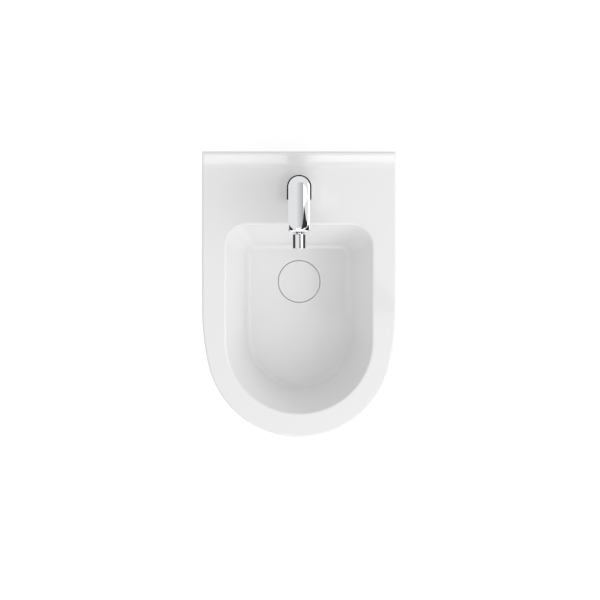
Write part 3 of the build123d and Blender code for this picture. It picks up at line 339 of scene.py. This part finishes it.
looks = {
    "glazed_ceramic": {
        "colours": ((0.84, 0.84, 0.84), (0.86, 0.86, 0.86)), "toneScale": 5.0,
        "roughness": (0.045, 0.085), "roughScale": 18.0,
        "height": (ripple, {"Broad": 9.0, "Fine": 150.0, "Depth": 6e-5, "Peel": 1.5e-6})},
    "chrome": {
        "colours": ((0.74, 0.745, 0.765), (0.77, 0.775, 0.79)), "toneScale": 30.0,
        "roughness": (0.025, 0.06), "roughScale": 60.0, "metallic": 1.0,
        "height": (ripple, {"Broad": 25.0, "Fine": 400.0, "Depth": 4e-6, "Peel": 2e-7})},
    "brass": {
        "colours": ((0.62, 0.42, 0.16), (0.72, 0.52, 0.22)), "toneScale": 60.0,
        "roughness": (0.18, 0.34), "metallic": 1.0,
        "height": (grain, {"Scale": 1400.0, "Depth": 6e-6})},
    "steel": {
        "colours": ((0.50, 0.50, 0.50), (0.60, 0.60, 0.59)), "toneScale": 70.0,
        "roughness": (0.25, 0.42), "metallic": 1.0,
        "height": (brushed, {"Scale": 1200.0, "Depth": 8e-6})},
    "stainless": {
        "colours": ((0.58, 0.58, 0.57), (0.66, 0.66, 0.65)), "toneScale": 90.0,
        "roughness": (0.20, 0.30), "metallic": 1.0,
        "height": (brushed, {"Scale": 1600.0, "Depth": 5e-6})},
    "white_plastic": {
        "colours": ((0.74, 0.74, 0.72), (0.79, 0.79, 0.77)), "toneScale": 40.0,
        "roughness": (0.28, 0.40), "height": (grain, {"Scale": 1100.0, "Depth": 8e-6})},
    "grey_plastic": {
        "colours": ((0.16, 0.165, 0.17), (0.20, 0.205, 0.21)), "toneScale": 50.0,
        "roughness": (0.42, 0.56), "height": (grain, {"Scale": 1000.0, "Depth": 1.2e-5})},
    "dark_plastic": {
        "colours": ((0.012, 0.012, 0.013), (0.02, 0.02, 0.022)), "toneScale": 50.0,
        "roughness": (0.38, 0.52), "height": (grain, {"Scale": 1000.0, "Depth": 1.2e-5})},
    "rubber": {
        "colours": ((0.012, 0.012, 0.012), (0.028, 0.027, 0.026)), "toneScale": 80.0,
        "roughness": (0.62, 0.82), "height": (grain, {"Scale": 1500.0, "Depth": 1.6e-5})},
    "disc_ceramic": {
        "colours": ((0.70, 0.70, 0.68), (0.76, 0.76, 0.74)), "toneScale": 60.0,
        "roughness": (0.16, 0.24), "height": (grain, {"Scale": 2000.0, "Depth": 2e-6})},
    "indicator": {
        "colours": ((0.24, 0.26, 0.29), (0.28, 0.30, 0.33)), "toneScale": 90.0,
        "roughness": (0.2, 0.3), "height": (grain, {"Scale": 1500.0, "Depth": 4e-6})},
}
finishes = {slot: newMaterial(slot.replace("_", " "), look) for slot, look in looks.items()}
bareCeramic = newMaterial("bare ceramic", {
    "colours": ((0.66, 0.65, 0.62), (0.73, 0.72, 0.69)), "toneScale": 22.0,
    "roughness": (0.55, 0.75), "height": (grain, {"Scale": 700.0, "Depth": 2.5e-5})})
for node in nodes.values():
    slotName = node.data.materials[0].name.split(".")[0]
    node.data.materials[0] = finishes[slotName]
print("materials ready:", len(finishes) + 1)


# Basin: one closed skin of rings, from the foot up the outside, over the deck and down into the bowl,
# out through the waste hole and back under the deck

basin = {
    "deck": 0.100, "band": 0.040, "noseTuck": 0.0072, "shoulder": 0.0666,
    "sideTuck": 0.055, "frontTuck": 0.200, "curl": 0.9,
    "rimRound": 0.0034, "footRound": 0.005,
    "upstandRise": 0.012, "upstandTop": 0.0065, "upstandSlope": 0.016,
    "upstandCove": 0.034, "upstandCrest": 0.005, "coveShare": 0.36,
    "wall": 0.0095, "backPlate": 0.015, "deckThickness": 0.013,
    "merge": 2e-6, "sharpAngle": 32,
}
bowl = {
    "width": 0.273, "back": 0.135, "rimFront": 0.0435, "corner": 0.040, "floorCorner": 0.022,
    "depth": 0.132, "leanSide": 0.040, "leanBack": 0.037, "leanFront": 0.050,
    "lipRound": 0.004, "footRound": 0.014, "wall": 0.0095,
}
waste = {
    "recess": 0.0395, "recessDepth": 0.009, "edge": 0.001, "hole": 0.023, "seat": 0.023, "boss": 0.050,
}
overflow = {
    "radius": 0.011, "below": 0.052, "width": 0.026, "gap": 0.014, "wall": 0.008, "slot": 0.008,
    "reach": 0.030, "overlap": 0.001,
}
openings = {
    "tapHole": 0.0175, "fixing": 0.011, "fixingSpread": 0.180,
    "serviceWidth": 0.140, "serviceTop": -0.072, "serviceCorner": 0.030, "cornerSteps": 8,
    "past": 0.01, "through": 0.02,
}
# points round an outline, and rings over each part of the skin
counts = {
    "back": 44, "side": 124, "flank": 40, "nose": 120, "corner": 20,
    "round": 7, "edge": 4, "outside": 24, "band": 4, "slope": 16, "cove": 8, "deck": 8,
    "bowlWall": 18, "floor": 10, "bowlOutside": 8, "inside": 16,
}
# shares of the way at which rings lie across the underside of the bowl and of the deck
thirds = (0.33, 0.66)
# how near the glaze comes to the wall, the foot, the bowl's floor, the waste hole and the deck's underside
glaze = {
    "wallGap": 0.0004, "facing": 0.9, "footGap": 0.0008, "wallShare": 0.6,
    "floorGap": 0.002, "holeGap": 0.001, "edgeGap": 0.0005,
}

castings = [name for name in nodes if name.startswith("basin_")]
skirtLow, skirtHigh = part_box("basin_skirt")
coverLow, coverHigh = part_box("drain_cover")
bodyLow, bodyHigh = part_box("tap_body")
halfWidth = skirtHigh.x
basinLength = -skirtLow.y
bottomZ = skirtLow.z
upstandZ = basin["deck"] + basin["upstandRise"]
deckUnder = basin["deck"] - basin["deckThickness"]
floorZ = basin["deck"] - bowl["depth"]
recessZ = floorZ - waste["recessDepth"]
seatZ = recessZ - waste["seat"]
overflowZ = basin["deck"] - overflow["below"]
drainY = (coverLow.y + coverHigh.y) / 2
# the body of the tap is round behind, about the tap's upright axis
tapY = bodyHigh.y - bodyHigh.x
bowlLean = bowl["leanSide"] / bowl["depth"]


def underCurve(z):
    # 1 on the straight band, falling along an ellipse to 0 at the underside
    drop = max(0.0, (basin["band"] - z) / (basin["band"] - bottomZ))
    end = math.sqrt(1 - basin["curl"] ** 2)
    return (math.sqrt(1 - (basin["curl"] * drop) ** 2) - end) / (1 - end)


def sideHalf(z):
    return halfWidth - basin["sideTuck"] * (1 - underCurve(z))


def sideFront(z):
    return basin["frontTuck"] * (1 - underCurve(z)) - basinLength


def wholeRing(backPath, sidePath):
    # right half from the middle of the back to the nose, then its mirror image
    right = resample(backPath, counts["back"])[:-1] + resample(sidePath, counts["side"])
    return right + [(-x, y) for x, y in right[-2:0:-1]]


def basinOutline(half, back, front):
    shrink = half / halfWidth
    nose = half - basin["noseTuck"] * shrink
    shoulder = basin["shoulder"] * shrink
    noseY = front + nose
    flank = (half ** 2 + shoulder ** 2 - nose ** 2) / (2 * (half - nose))
    swing = math.degrees(math.atan2(shoulder, flank - half))
    side = [(half, back), (half, noseY + shoulder)]
    side += arcPoints(half - flank, noseY + shoulder, flank, 0, -swing, counts["flank"])[1:]
    side += arcPoints(0, noseY, nose, -swing, -90, counts["nose"])[1:]
    return wholeRing([(0, back), (half, back)], side)


def bowlReach(z, grow):
    # how far down the bowl a height is, then the half width, the back and the front of the bowl there
    drop = (basin["deck"] - z) / bowl["depth"]
    half = bowl["width"] / 2 - bowl["leanSide"] * drop + grow
    back = -bowl["back"] - bowl["leanBack"] * drop + grow
    front = bowl["rimFront"] - basinLength + bowl["leanFront"] * drop - grow
    return drop, half, back, front


def bowlOutline(z, grow):
    drop, half, back, front = bowlReach(z, grow)
    corner = bowl["corner"] + (bowl["floorCorner"] - bowl["corner"]) * drop + grow
    cornerX, cornerY = half - corner, back - corner
    backPath = [(0, back)] + arcPoints(cornerX, cornerY, corner, 90, 45, counts["corner"])
    side = arcPoints(cornerX, cornerY, corner, 45, 0, counts["corner"])
    side += arcPoints(0, front + half, half, 0, -90, counts["nose"])
    return wholeRing(backPath, side)


def crestHeight(y):
    # height of the deck at a distance from the wall: flat top, rounded crest, slope, cove, deck
    rise = upstandZ - basin["deck"]
    slope = math.atan2(rise, basin["upstandSlope"])
    depth = -y
    crest = basin["upstandCrest"] * math.tan(slope / 2)
    cove = basin["upstandCove"] * math.tan(slope / 2)
    crestStart = basin["upstandTop"] - crest
    crestEnd = basin["upstandTop"] + crest * math.cos(slope)
    foot = basin["upstandTop"] + basin["upstandSlope"]
    if depth < crestStart:
        return upstandZ
    if depth < crestEnd:
        radius = basin["upstandCrest"]
        return upstandZ - radius + math.sqrt(radius ** 2 - (depth - crestStart) ** 2)
    if depth < foot - cove * math.cos(slope):
        return upstandZ - (depth - basin["upstandTop"]) * math.tan(slope)
    if depth < foot + cove:
        radius = basin["upstandCove"]
        return basin["deck"] + radius - math.sqrt(radius ** 2 - (foot + cove - depth) ** 2)
    return basin["deck"]


def atHeight(outline, z):
    return [(x, y, z) for x, y in outline]


def between(first, last, shares, height=None):
    # rings part of the way from one to another, each set on the deck where a height is asked for
    rings = []
    for share in shares:
        ring = [tuple(Vector(a).lerp(Vector(b), share)) for a, b in zip(first, last)]
        rings.append([(x, y, height(y)) for x, y, z in ring] if height else ring)
    return rings


def circleRing(like, radius, z):
    # round ring about the drain, each point in the direction of its partner
    ring = []
    for x, y, _ in like:
        a = math.atan2(y - drainY, x)
        ring.append((radius * math.cos(a), drainY + radius * math.sin(a), z))
    return ring


def basinRings():
    foot, rim, lip, heel = basin["footRound"], basin["rimRound"], bowl["lipRound"], bowl["footRound"]
    # rounded foot, outside and rounded rim
    rings = []
    roundAngles = quarter(counts["round"])
    for a in roundAngles:
        z = bottomZ + foot * (1 - math.cos(a))
        inset = foot * (1 - math.sin(a))
        rings.append(atHeight(basinOutline(sideHalf(z) - inset, 0, sideFront(z) + inset), z))
    for z in evenly(bottomZ + foot, basin["band"], counts["outside"]):
        rings.append(atHeight(basinOutline(sideHalf(z), 0, sideFront(z)), z))
    outline = basinOutline(halfWidth, 0, -basinLength)
    top = [(x, y, crestHeight(y) - rim) for x, y in outline]
    rings += between(rings[-1], top, evenly(0, 1, counts["band"]))
    for a in roundAngles[1:]:
        inset = rim * (1 - math.cos(a))
        drop = rim * (1 - math.sin(a))
        edge = basinOutline(halfWidth - inset, -inset, inset - basinLength)
        rings.append([(x, y, crestHeight(y) - drop) for x, y in edge])
    # deck, close together over the upstand
    turn = math.pi / 2 - math.atan(bowlLean)
    lipReach = lip * math.tan(turn / 2)
    rimRing = atHeight(bowlOutline(basin["deck"], lipReach), basin["deck"])
    depth = bowl["back"] - lipReach - rim
    slopeEnd = basin["upstandTop"] + basin["upstandSlope"]
    coveEnd = slopeEnd + basin["upstandCove"] * basin["coveShare"]
    places = evenly(rim, slopeEnd, counts["slope"]) + evenly(slopeEnd, coveEnd, counts["cove"])
    shares = [(place - rim) / depth for place in places]
    shares += evenly(shares[-1], 1, counts["deck"])
    rings += between(rings[-1], rimRing, shares, crestHeight)
    # lip, wall and rounded foot of the bowl
    for a in quarter(counts["round"], math.degrees(turn))[1:]:
        drop = lip * (1 - math.cos(a))
        grow = lipReach - lip * math.sin(a) + bowlLean * drop
        rings.append(atHeight(bowlOutline(basin["deck"] - drop, grow), basin["deck"] - drop))
    wallTop = basin["deck"] - lip * (1 - math.cos(turn))
    wallEnd = floorZ + heel * (1 - math.cos(turn))
    for z in evenly(wallTop, wallEnd, counts["bowlWall"]):
        rings.append(atHeight(bowlOutline(z, 0), z))
    heelReach = heel * math.tan(turn / 2)
    for a in quarter(2 * counts["round"], math.degrees(turn))[-2::-1]:
        rise = heel * (1 - math.cos(a))
        grow = heel * math.sin(a) - heelReach - bowlLean * rise
        rings.append(atHeight(bowlOutline(floorZ + rise, grow), floorZ + rise))
    # floor, recess, waste hole and the boss round it, as (radius, z) about the drain
    edge = waste["edge"]
    underZ = floorZ - bowl["wall"]
    edgeAngles = quarter(counts["edge"])
    floorRing = rings[-1]
    recessTop = circleRing(floorRing, waste["recess"] + edge, floorZ)
    rings += between(floorRing, recessTop, evenly(0, 1, counts["floor"]))
    profile = []
    for a in edgeAngles[1:]:
        profile.append((waste["recess"] + edge * (1 - math.sin(a)), floorZ - edge * (1 - math.cos(a))))
    for a in edgeAngles:
        profile.append((waste["recess"] - edge * (1 - math.cos(a)), recessZ + edge * (1 - math.sin(a))))
    profile += [(waste["hole"] + edge, recessZ), (waste["hole"], recessZ - edge), (waste["hole"], seatZ)]
    profile += [(waste["boss"], seatZ), (waste["boss"], underZ)]
    rings += [circleRing(floorRing, radius, z) for radius, z in profile]
    # underside of the bowl, its outside, and the hollow of the casting
    wallFoot = atHeight(bowlOutline(underZ, bowl["wall"]), underZ)
    rings += between(rings[-1], wallFoot, (*thirds, 1.0))
    for z in evenly(underZ, deckUnder, counts["bowlOutside"]):
        rings.append(atHeight(bowlOutline(z, bowl["wall"]), z))
    for z in [deckUnder, basin["band"]] + evenly(basin["band"], bottomZ, counts["inside"]):
        low = z - basin["wall"]
        half = sideHalf(low) - basin["wall"]
        ring = atHeight(basinOutline(half, -basin["backPlate"], sideFront(low) + basin["wall"]), z)
        if z == deckUnder:
            rings += between(rings[-1], ring, thirds)
        rings.append(ring)
    return rings


def overflowShape(margin, name):
    # side outline of the channel behind the bowl and forward to the waste
    slotZ = recessZ - waste["seat"] / 2
    topZ = overflowZ + overflow["radius"] + margin
    roofZ = slotZ + overflow["slot"] / 2
    lowZ = seatZ if margin else slotZ - overflow["slot"] / 2
    sunk = min(margin, bowl["wall"] / 2)
    behind = overflow["gap"] + margin
    topY = bowlReach(topZ, bowl["wall"])[2]
    roofY = bowlReach(roofZ, bowl["wall"])[2]
    endY = drainY + waste["hole"] - overflow["overlap"]
    side = [
        (topY - sunk, topZ), (topY + behind, topZ), (roofY + behind, lowZ),
        (endY, lowZ), (endY, roofZ + sunk), (roofY - sunk, roofZ + sunk),
    ]
    half = overflow["width"] / 2 + margin
    return prism(name, side, -half, half, alongX)


def makeBasin():
    piece = skin("glazedBasin", basinRings(), joined=True)
    combine(piece, [overflowShape(overflow["wall"], "channelBlock")], "UNION")
    past, through = openings["past"], openings["through"]
    spread = openings["fixingSpread"] / 2
    holeFoot = (0, -bowl["back"] - overflow["reach"], overflowZ)
    cutters = [
        ("overflowHole", overflow["radius"], 0.0, overflow["reach"], holeFoot, wallwards),
        ("tapHole", openings["tapHole"], deckUnder - past, basin["deck"] + past, (0, tapY, 0), upwards),
        ("leftFixing", openings["fixing"], -through, past, (-spread, 0, 0), wallwards),
        ("rightFixing", openings["fixing"], -through, past, (spread, 0, 0), wallwards),
    ]
    half, top, corner = openings["serviceWidth"] / 2, openings["serviceTop"], openings["serviceCorner"]
    serviceFoot = bottomZ - through
    service = roundedLoop([
        (-half, serviceFoot, 0), (half, serviceFoot, 0), (half, top, corner), (-half, top, corner),
    ], openings["cornerSteps"])
    tools = [overflowShape(0.0, "channel")]
    tools += [roundCutter(*cutter) for cutter in cutters]
    tools.append(prism("service", service, -past, through, alongY))
    combine(piece, tools, "DIFFERENCE")
    tidyMesh(piece, basin["merge"])
    shadeBare(piece)
    finishPiece(piece, "basin", castings, basin["sharpAngle"])


def shadeBare(piece):
    # glaze stops at the foot, on the face against the wall and inside the hollow
    setMaterials(piece, finishes["glazed_ceramic"], bareCeramic)
    for face in piece.data.polygons:
        x, y, z = face.center
        onWall = y > -glaze["wallGap"] and face.normal.y > glaze["facing"]
        onFoot = z < bottomZ + glaze["footGap"]
        sideWall = sideHalf(z - basin["wall"] / 2) - basin["wall"] * glaze["wallShare"]
        inside = z < deckUnder + glaze["edgeGap"] and hollowAt(x, y, z, sideWall)
        face.material_index = 1 if onWall or onFoot or inside else 0


def hollowAt(x, y, z, sideWall):
    # between the skirt's wall and the outside of the bowl
    if y > -basin["backPlate"] * glaze["wallShare"] or abs(x) > sideWall:
        return False
    front = sideFront(z - basin["wall"] / 2) + basin["wall"] * glaze["wallShare"]
    nose = sideWall - basin["noseTuck"]
    if y < front + nose and math.hypot(x, y - front - nose) > nose:
        return False
    if z < recessZ - glaze["floorGap"]:
        clearOfHole = math.hypot(x, y - drainY) > waste["hole"] + glaze["holeGap"]
        return clearOfHole or z < seatZ + glaze["edgeGap"]
    drop, half, back, front = bowlReach(z, bowl["wall"] / 2)
    if abs(x) < half and front + half < y < back:
        return False
    return math.hypot(x, y - front - half) > half or y > back


makeBasin()
print("basin done")


# Lever: a long slot crowned from side to side, its top falling towards the tip

lever = {
    "radius": 0.0202, "rear": 0.0095, "tip": 0.006, "crown": 0.0044, "underRound": 0.0008,
    "hubRadius": 0.013, "hubHeight": 0.0035, "hubRound": 0.0006, "overlap": 0.001,
    "socket": 0.00405, "socketDepth": 0.0078, "grubGap": 0.0001, "grubReach": 0.03,
    "underSteps": 4, "crownRings": 20, "endSteps": 40, "sideSteps": 30, "merge": 4e-6, "sharpAngle": 40,
}
leverLow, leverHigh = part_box("lever")
leverUnder = leverLow.z + lever["hubHeight"]


def leverOutline(inset):
    radius = lever["radius"] - inset
    tipY = leverLow.y + lever["radius"]
    rearY = leverHigh.y - lever["radius"]
    ends, sides = lever["endSteps"], lever["sideSteps"]
    path = arcPoints(0, tipY, radius, 0, -180, ends)
    path += [(-radius, tipY + (rearY - tipY) * k / sides) for k in range(1, sides)]
    path += arcPoints(0, rearY, radius, 180, 0, ends)
    path += [(radius, rearY + (tipY - rearY) * k / sides) for k in range(1, sides)]
    return path


def leverThickness(y):
    share = (leverHigh.y - y) / (leverHigh.y - leverLow.y)
    return lever["rear"] + (lever["tip"] - lever["rear"]) * share


def leverRings():
    rings = []
    for a in quarter(lever["underSteps"]):
        inset = lever["underRound"] * (1 - math.sin(a))
        z = leverUnder + lever["underRound"] * (1 - math.cos(a))
        rings.append(atHeight(leverOutline(inset), z))
    for k in range(lever["crownRings"] + 1):
        a = math.pi / 2 * (1 - k / lever["crownRings"])
        outline = leverOutline(lever["radius"] * (1 - math.sin(a)))
        fall = lever["crown"] * (1 - math.cos(a))
        rings.append([(x, y, leverUnder + leverThickness(y) - fall) for x, y in outline])
    return rings


def makeLever():
    # the last ring closes on itself along the middle, so only the underside is filled
    rings = leverRings()
    count = len(rings[0])
    points = [point for ring in rings for point in ring]
    piece = newPiece("leverHandle", points, [tuple(range(count))] + ringFaces(len(rings), count))
    tidyMesh(piece, lever["merge"])
    hubRound, hubRadius = lever["hubRound"], lever["hubRadius"]
    hubTop = lever["hubHeight"] + lever["overlap"]
    hub = [(0.0, 0.0), (0.0, hubRadius - hubRound), (hubRound, hubRadius), (hubTop, hubRadius), (hubTop, 0.0)]
    combine(piece, [lathe("hub", hub, (0, tapY, leverLow.z), upwards)], "UNION")
    side = lever["socket"]
    square = [(x, y + tapY) for x, y in ((-side, -side), (side, -side), (side, side), (-side, side))]
    dotLow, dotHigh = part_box("lever_indicator")
    dotSpot = (0, tapY, (dotLow.z + dotHigh.z) / 2)
    tools = [
        prism("socket", square, leverLow.z - lever["overlap"], leverLow.z + lever["socketDepth"]),
        roundCutter("grubHole", dotHigh.x + lever["grubGap"], 0.0, lever["grubReach"], dotSpot, wallwards),
    ]
    combine(piece, tools, "DIFFERENCE")
    setMaterials(piece, finishes["chrome"])
    finishPiece(piece, "lever_arm", ["lever"], lever["sharpAngle"])


makeLever()
print("lever done")


# Floor, light and camera

studio = {
    "floorZ": -0.30, "floorSize": 30.0, "floorGlow": 0.72, "floorTone": 0.45, "backdrop": 1.0,
    "world": 0.78, "lean": (0.10, -0.12, -0.10), "lampSize": 2.4,
    "lamps": {"right": ((2.7, -0.5, 1.9), 28.0), "front": ((0.6, -3.0, 2.0), 29.0)},
    "aim": (0.0, -0.26, 0.05),
}
view = {"centreX": 0.0016, "centreY": -0.2754, "width": 1.1136, "lens": 600.0, "sensor": 36.0, "reach": 100.0}


def oneSided(tree, front):
    # the shader on the side that a face points to, and clear from behind
    clear = tree.nodes.new("ShaderNodeBsdfTransparent")
    facing = tree.nodes.new("ShaderNodeNewGeometry")
    choose = tree.nodes.new("ShaderNodeMixShader")
    tree.links.new(facing.outputs["Backfacing"], choose.inputs["Fac"])
    tree.links.new(front.outputs[0], choose.inputs[1])
    tree.links.new(clear.outputs[0], choose.inputs[2])
    out = tree.nodes.new("ShaderNodeOutputMaterial")
    tree.links.new(choose.outputs[0], out.inputs["Surface"])


def plainlySeen(tree):
    # 1 for the camera, for a reflection and through glass, and 0 for the light that falls on things
    path = tree.nodes.new("ShaderNodeLightPath")
    mirrored = addMath(tree, "MAXIMUM", path.outputs["Is Glossy Ray"], path.outputs["Is Transmission Ray"])
    return addMath(tree, "MAXIMUM", path.outputs["Is Camera Ray"], mirrored)


def stageMaterial(name):
    material = bpy.data.materials.new(name)
    material.use_nodes = True
    material.node_tree.nodes.clear()
    return material, material.node_tree


def makeFloor():
    half = studio["floorSize"] / 2
    corners = atHeight([(-half, -half), (half, -half), (half, half), (-half, half)], studio["floorZ"])
    floor = newPiece("floor", corners, [(0, 1, 2, 3)])
    material, tree = stageMaterial("pale floor")
    diffuse = tree.nodes.new("ShaderNodeBsdfDiffuse")
    diffuse.inputs["Color"].default_value = (*[studio["floorTone"]] * 3, 1)
    glow = tree.nodes.new("ShaderNodeEmission")
    strength = addMath(tree, "MULTIPLY", plainlySeen(tree), studio["floorGlow"])
    tree.links.new(strength, glow.inputs["Strength"])
    both = tree.nodes.new("ShaderNodeAddShader")
    tree.links.new(diffuse.outputs[0], both.inputs[0])
    tree.links.new(glow.outputs[0], both.inputs[1])
    oneSided(tree, both)
    setMaterials(floor, material)


def makeWorld():
    world = bpy.data.worlds.new("studio")
    bpy.context.scene.world = world
    world.use_nodes = True
    tree = world.node_tree
    back = tree.nodes["Background"]
    # the soft light leans to the front right and to the horizon; what is seen directly is plain white
    place = tree.nodes.new("ShaderNodeTexCoord")
    lean = tree.nodes.new("ShaderNodeVectorMath")
    lean.operation = "DOT_PRODUCT"
    lean.inputs[1].default_value = studio["lean"]
    tree.links.new(place.outputs["Generated"], lean.inputs[0])
    leaning = addMath(tree, "ADD", lean.outputs["Value"], 1.0)
    soft = addMath(tree, "MULTIPLY", leaning, studio["world"])
    choose = tree.nodes.new("ShaderNodeMix")
    choose.inputs["B"].default_value = studio["backdrop"]
    tree.links.new(plainlySeen(tree), choose.inputs["Factor"])
    tree.links.new(soft, choose.inputs["A"])
    tree.links.new(choose.outputs["Result"], back.inputs["Strength"])
    back.inputs["Color"].default_value = (1, 1, 1, 1)


# Cards that show in reflections only. Each has its corners, then its brightness, or how that changes from
# low to high X. The level ones face down and the flags face the spout.
cards = {
    "glow": (
        [(0.082, -0.094, 0.34), (0.048, -0.104, 0.34), (0.030, -0.112, 0.34), (0.030, -0.052, 0.34)],
        1.7),
    "haze": (
        [(0.030, -0.04, 0.345), (0.030, -0.20, 0.345), (-0.02, -0.20, 0.345), (-0.02, -0.04, 0.345)],
        (1.0, 0.5)),
    "shade": (
        [(0.20, -0.30, 0.339), (0.020, -0.30, 0.339), (0.026, -0.140, 0.339), (0.036, -0.109, 0.339)],
        0.04),
    "cornerLeft": (
        [(-0.026, -0.130, 0.19), (-0.012, -0.130, 0.19), (-0.012, -0.150, 0.19), (-0.026, -0.150, 0.19)],
        0.02),
    "cornerRight": (
        [(0.012, -0.130, 0.19), (0.026, -0.130, 0.19), (0.026, -0.150, 0.19), (0.012, -0.150, 0.19)],
        0.02),
    "flagLeft": (
        [(-0.035, -0.150, 0.09), (-0.035, -0.150, 0.17), (-0.035, -0.183, 0.17), (-0.035, -0.183, 0.09)],
        0.08),
    "flagRight": (
        [(0.035, -0.183, 0.09), (0.035, -0.183, 0.17), (0.035, -0.150, 0.17), (0.035, -0.150, 0.09)],
        0.08),
}
# ring-shaped dark card that paints a dark reflection round the tap body's top edge; it is no part of the tap
shadeCollar = {
    "inner": 0.016, "outer": 0.040, "z": 0.210, "hem": 0.190, "front": -0.0925, "steps": 40, "level": 0.012,
}


def addCard(name, points, faces, level):
    card = newPiece(name, points, faces)
    material, tree = stageMaterial(name)
    glow = tree.nodes.new("ShaderNodeEmission")
    if isinstance(level, tuple):
        place = tree.nodes.new("ShaderNodeTexCoord")
        split = tree.nodes.new("ShaderNodeSeparateXYZ")
        change = tree.nodes.new("ShaderNodeMapRange")
        change.inputs["From Min"].default_value = min(x for x, y, z in points)
        change.inputs["From Max"].default_value = max(x for x, y, z in points)
        change.inputs["To Min"].default_value = level[0]
        change.inputs["To Max"].default_value = level[1]
        tree.links.new(place.outputs["Object"], split.inputs[0])
        tree.links.new(split.outputs["X"], change.inputs["Value"])
        tree.links.new(change.outputs["Result"], glow.inputs["Strength"])
    else:
        glow.inputs["Strength"].default_value = level
    oneSided(tree, glow)
    setMaterials(card, material)
    card.visible_camera = False
    card.visible_diffuse = False
    card.visible_shadow = False
    card.visible_transmission = False


def makeCards():
    for name, (corners, level) in cards.items():
        addCard(name, corners, [(0, 1, 2, 3)], level)
    # dark card over the body's top edge, open at the front and seen only in reflections: a painted dark
    # reflection round the top of the tap body
    rows = ((shadeCollar["inner"], shadeCollar["z"]), (shadeCollar["outer"], shadeCollar["z"]), (shadeCollar["outer"], shadeCollar["hem"]))
    points = []
    for radius, z in rows:
        bend = arcPoints(0, tapY, radius, 0, 180, shadeCollar["steps"])
        bend = [(radius, shadeCollar["front"])] + bend + [(-radius, shadeCollar["front"])]
        points += atHeight(bend, z)
    count = len(bend)
    faces = [(j, j + 1, count + j + 1, count + j) for j in range(2 * count - 1) if j != count - 1]
    addCard("shadeCollar", points, faces, shadeCollar["level"])


def makeLamps():
    # two broad soft lamps, from the right and from the front
    for name, (place, power) in studio["lamps"].items():
        lamp = bpy.data.lights.new(name, "AREA")
        lamp.shape = "SQUARE"
        lamp.size = studio["lampSize"]
        lamp.energy = power
        holder = bpy.data.objects.new(name, lamp)
        bpy.context.scene.collection.objects.link(holder)
        holder.location = place
        aim = Vector(studio["aim"]) - Vector(place)
        holder.rotation_euler = aim.to_track_quat("-Z", "Y").to_euler()


def makeCamera():
    # straight down through a long lens, the wall at the top of the picture
    data = bpy.data.cameras.new("camera")
    data.lens = view["lens"]
    data.sensor_width = view["sensor"]
    data.clip_end = view["reach"]
    camera = bpy.data.objects.new("camera", data)
    bpy.context.scene.collection.objects.link(camera)
    distance = view["width"] / view["sensor"] * view["lens"]
    camera.location = (view["centreX"], view["centreY"], basin["deck"] + distance)
    camera.rotation_euler = (0, 0, 0)
    bpy.context.scene.camera = camera


makeFloor()
makeWorld()
makeLamps()
makeCards()
makeCamera()
bpy.context.scene.view_settings.view_transform = "Standard"
print("stage ready")
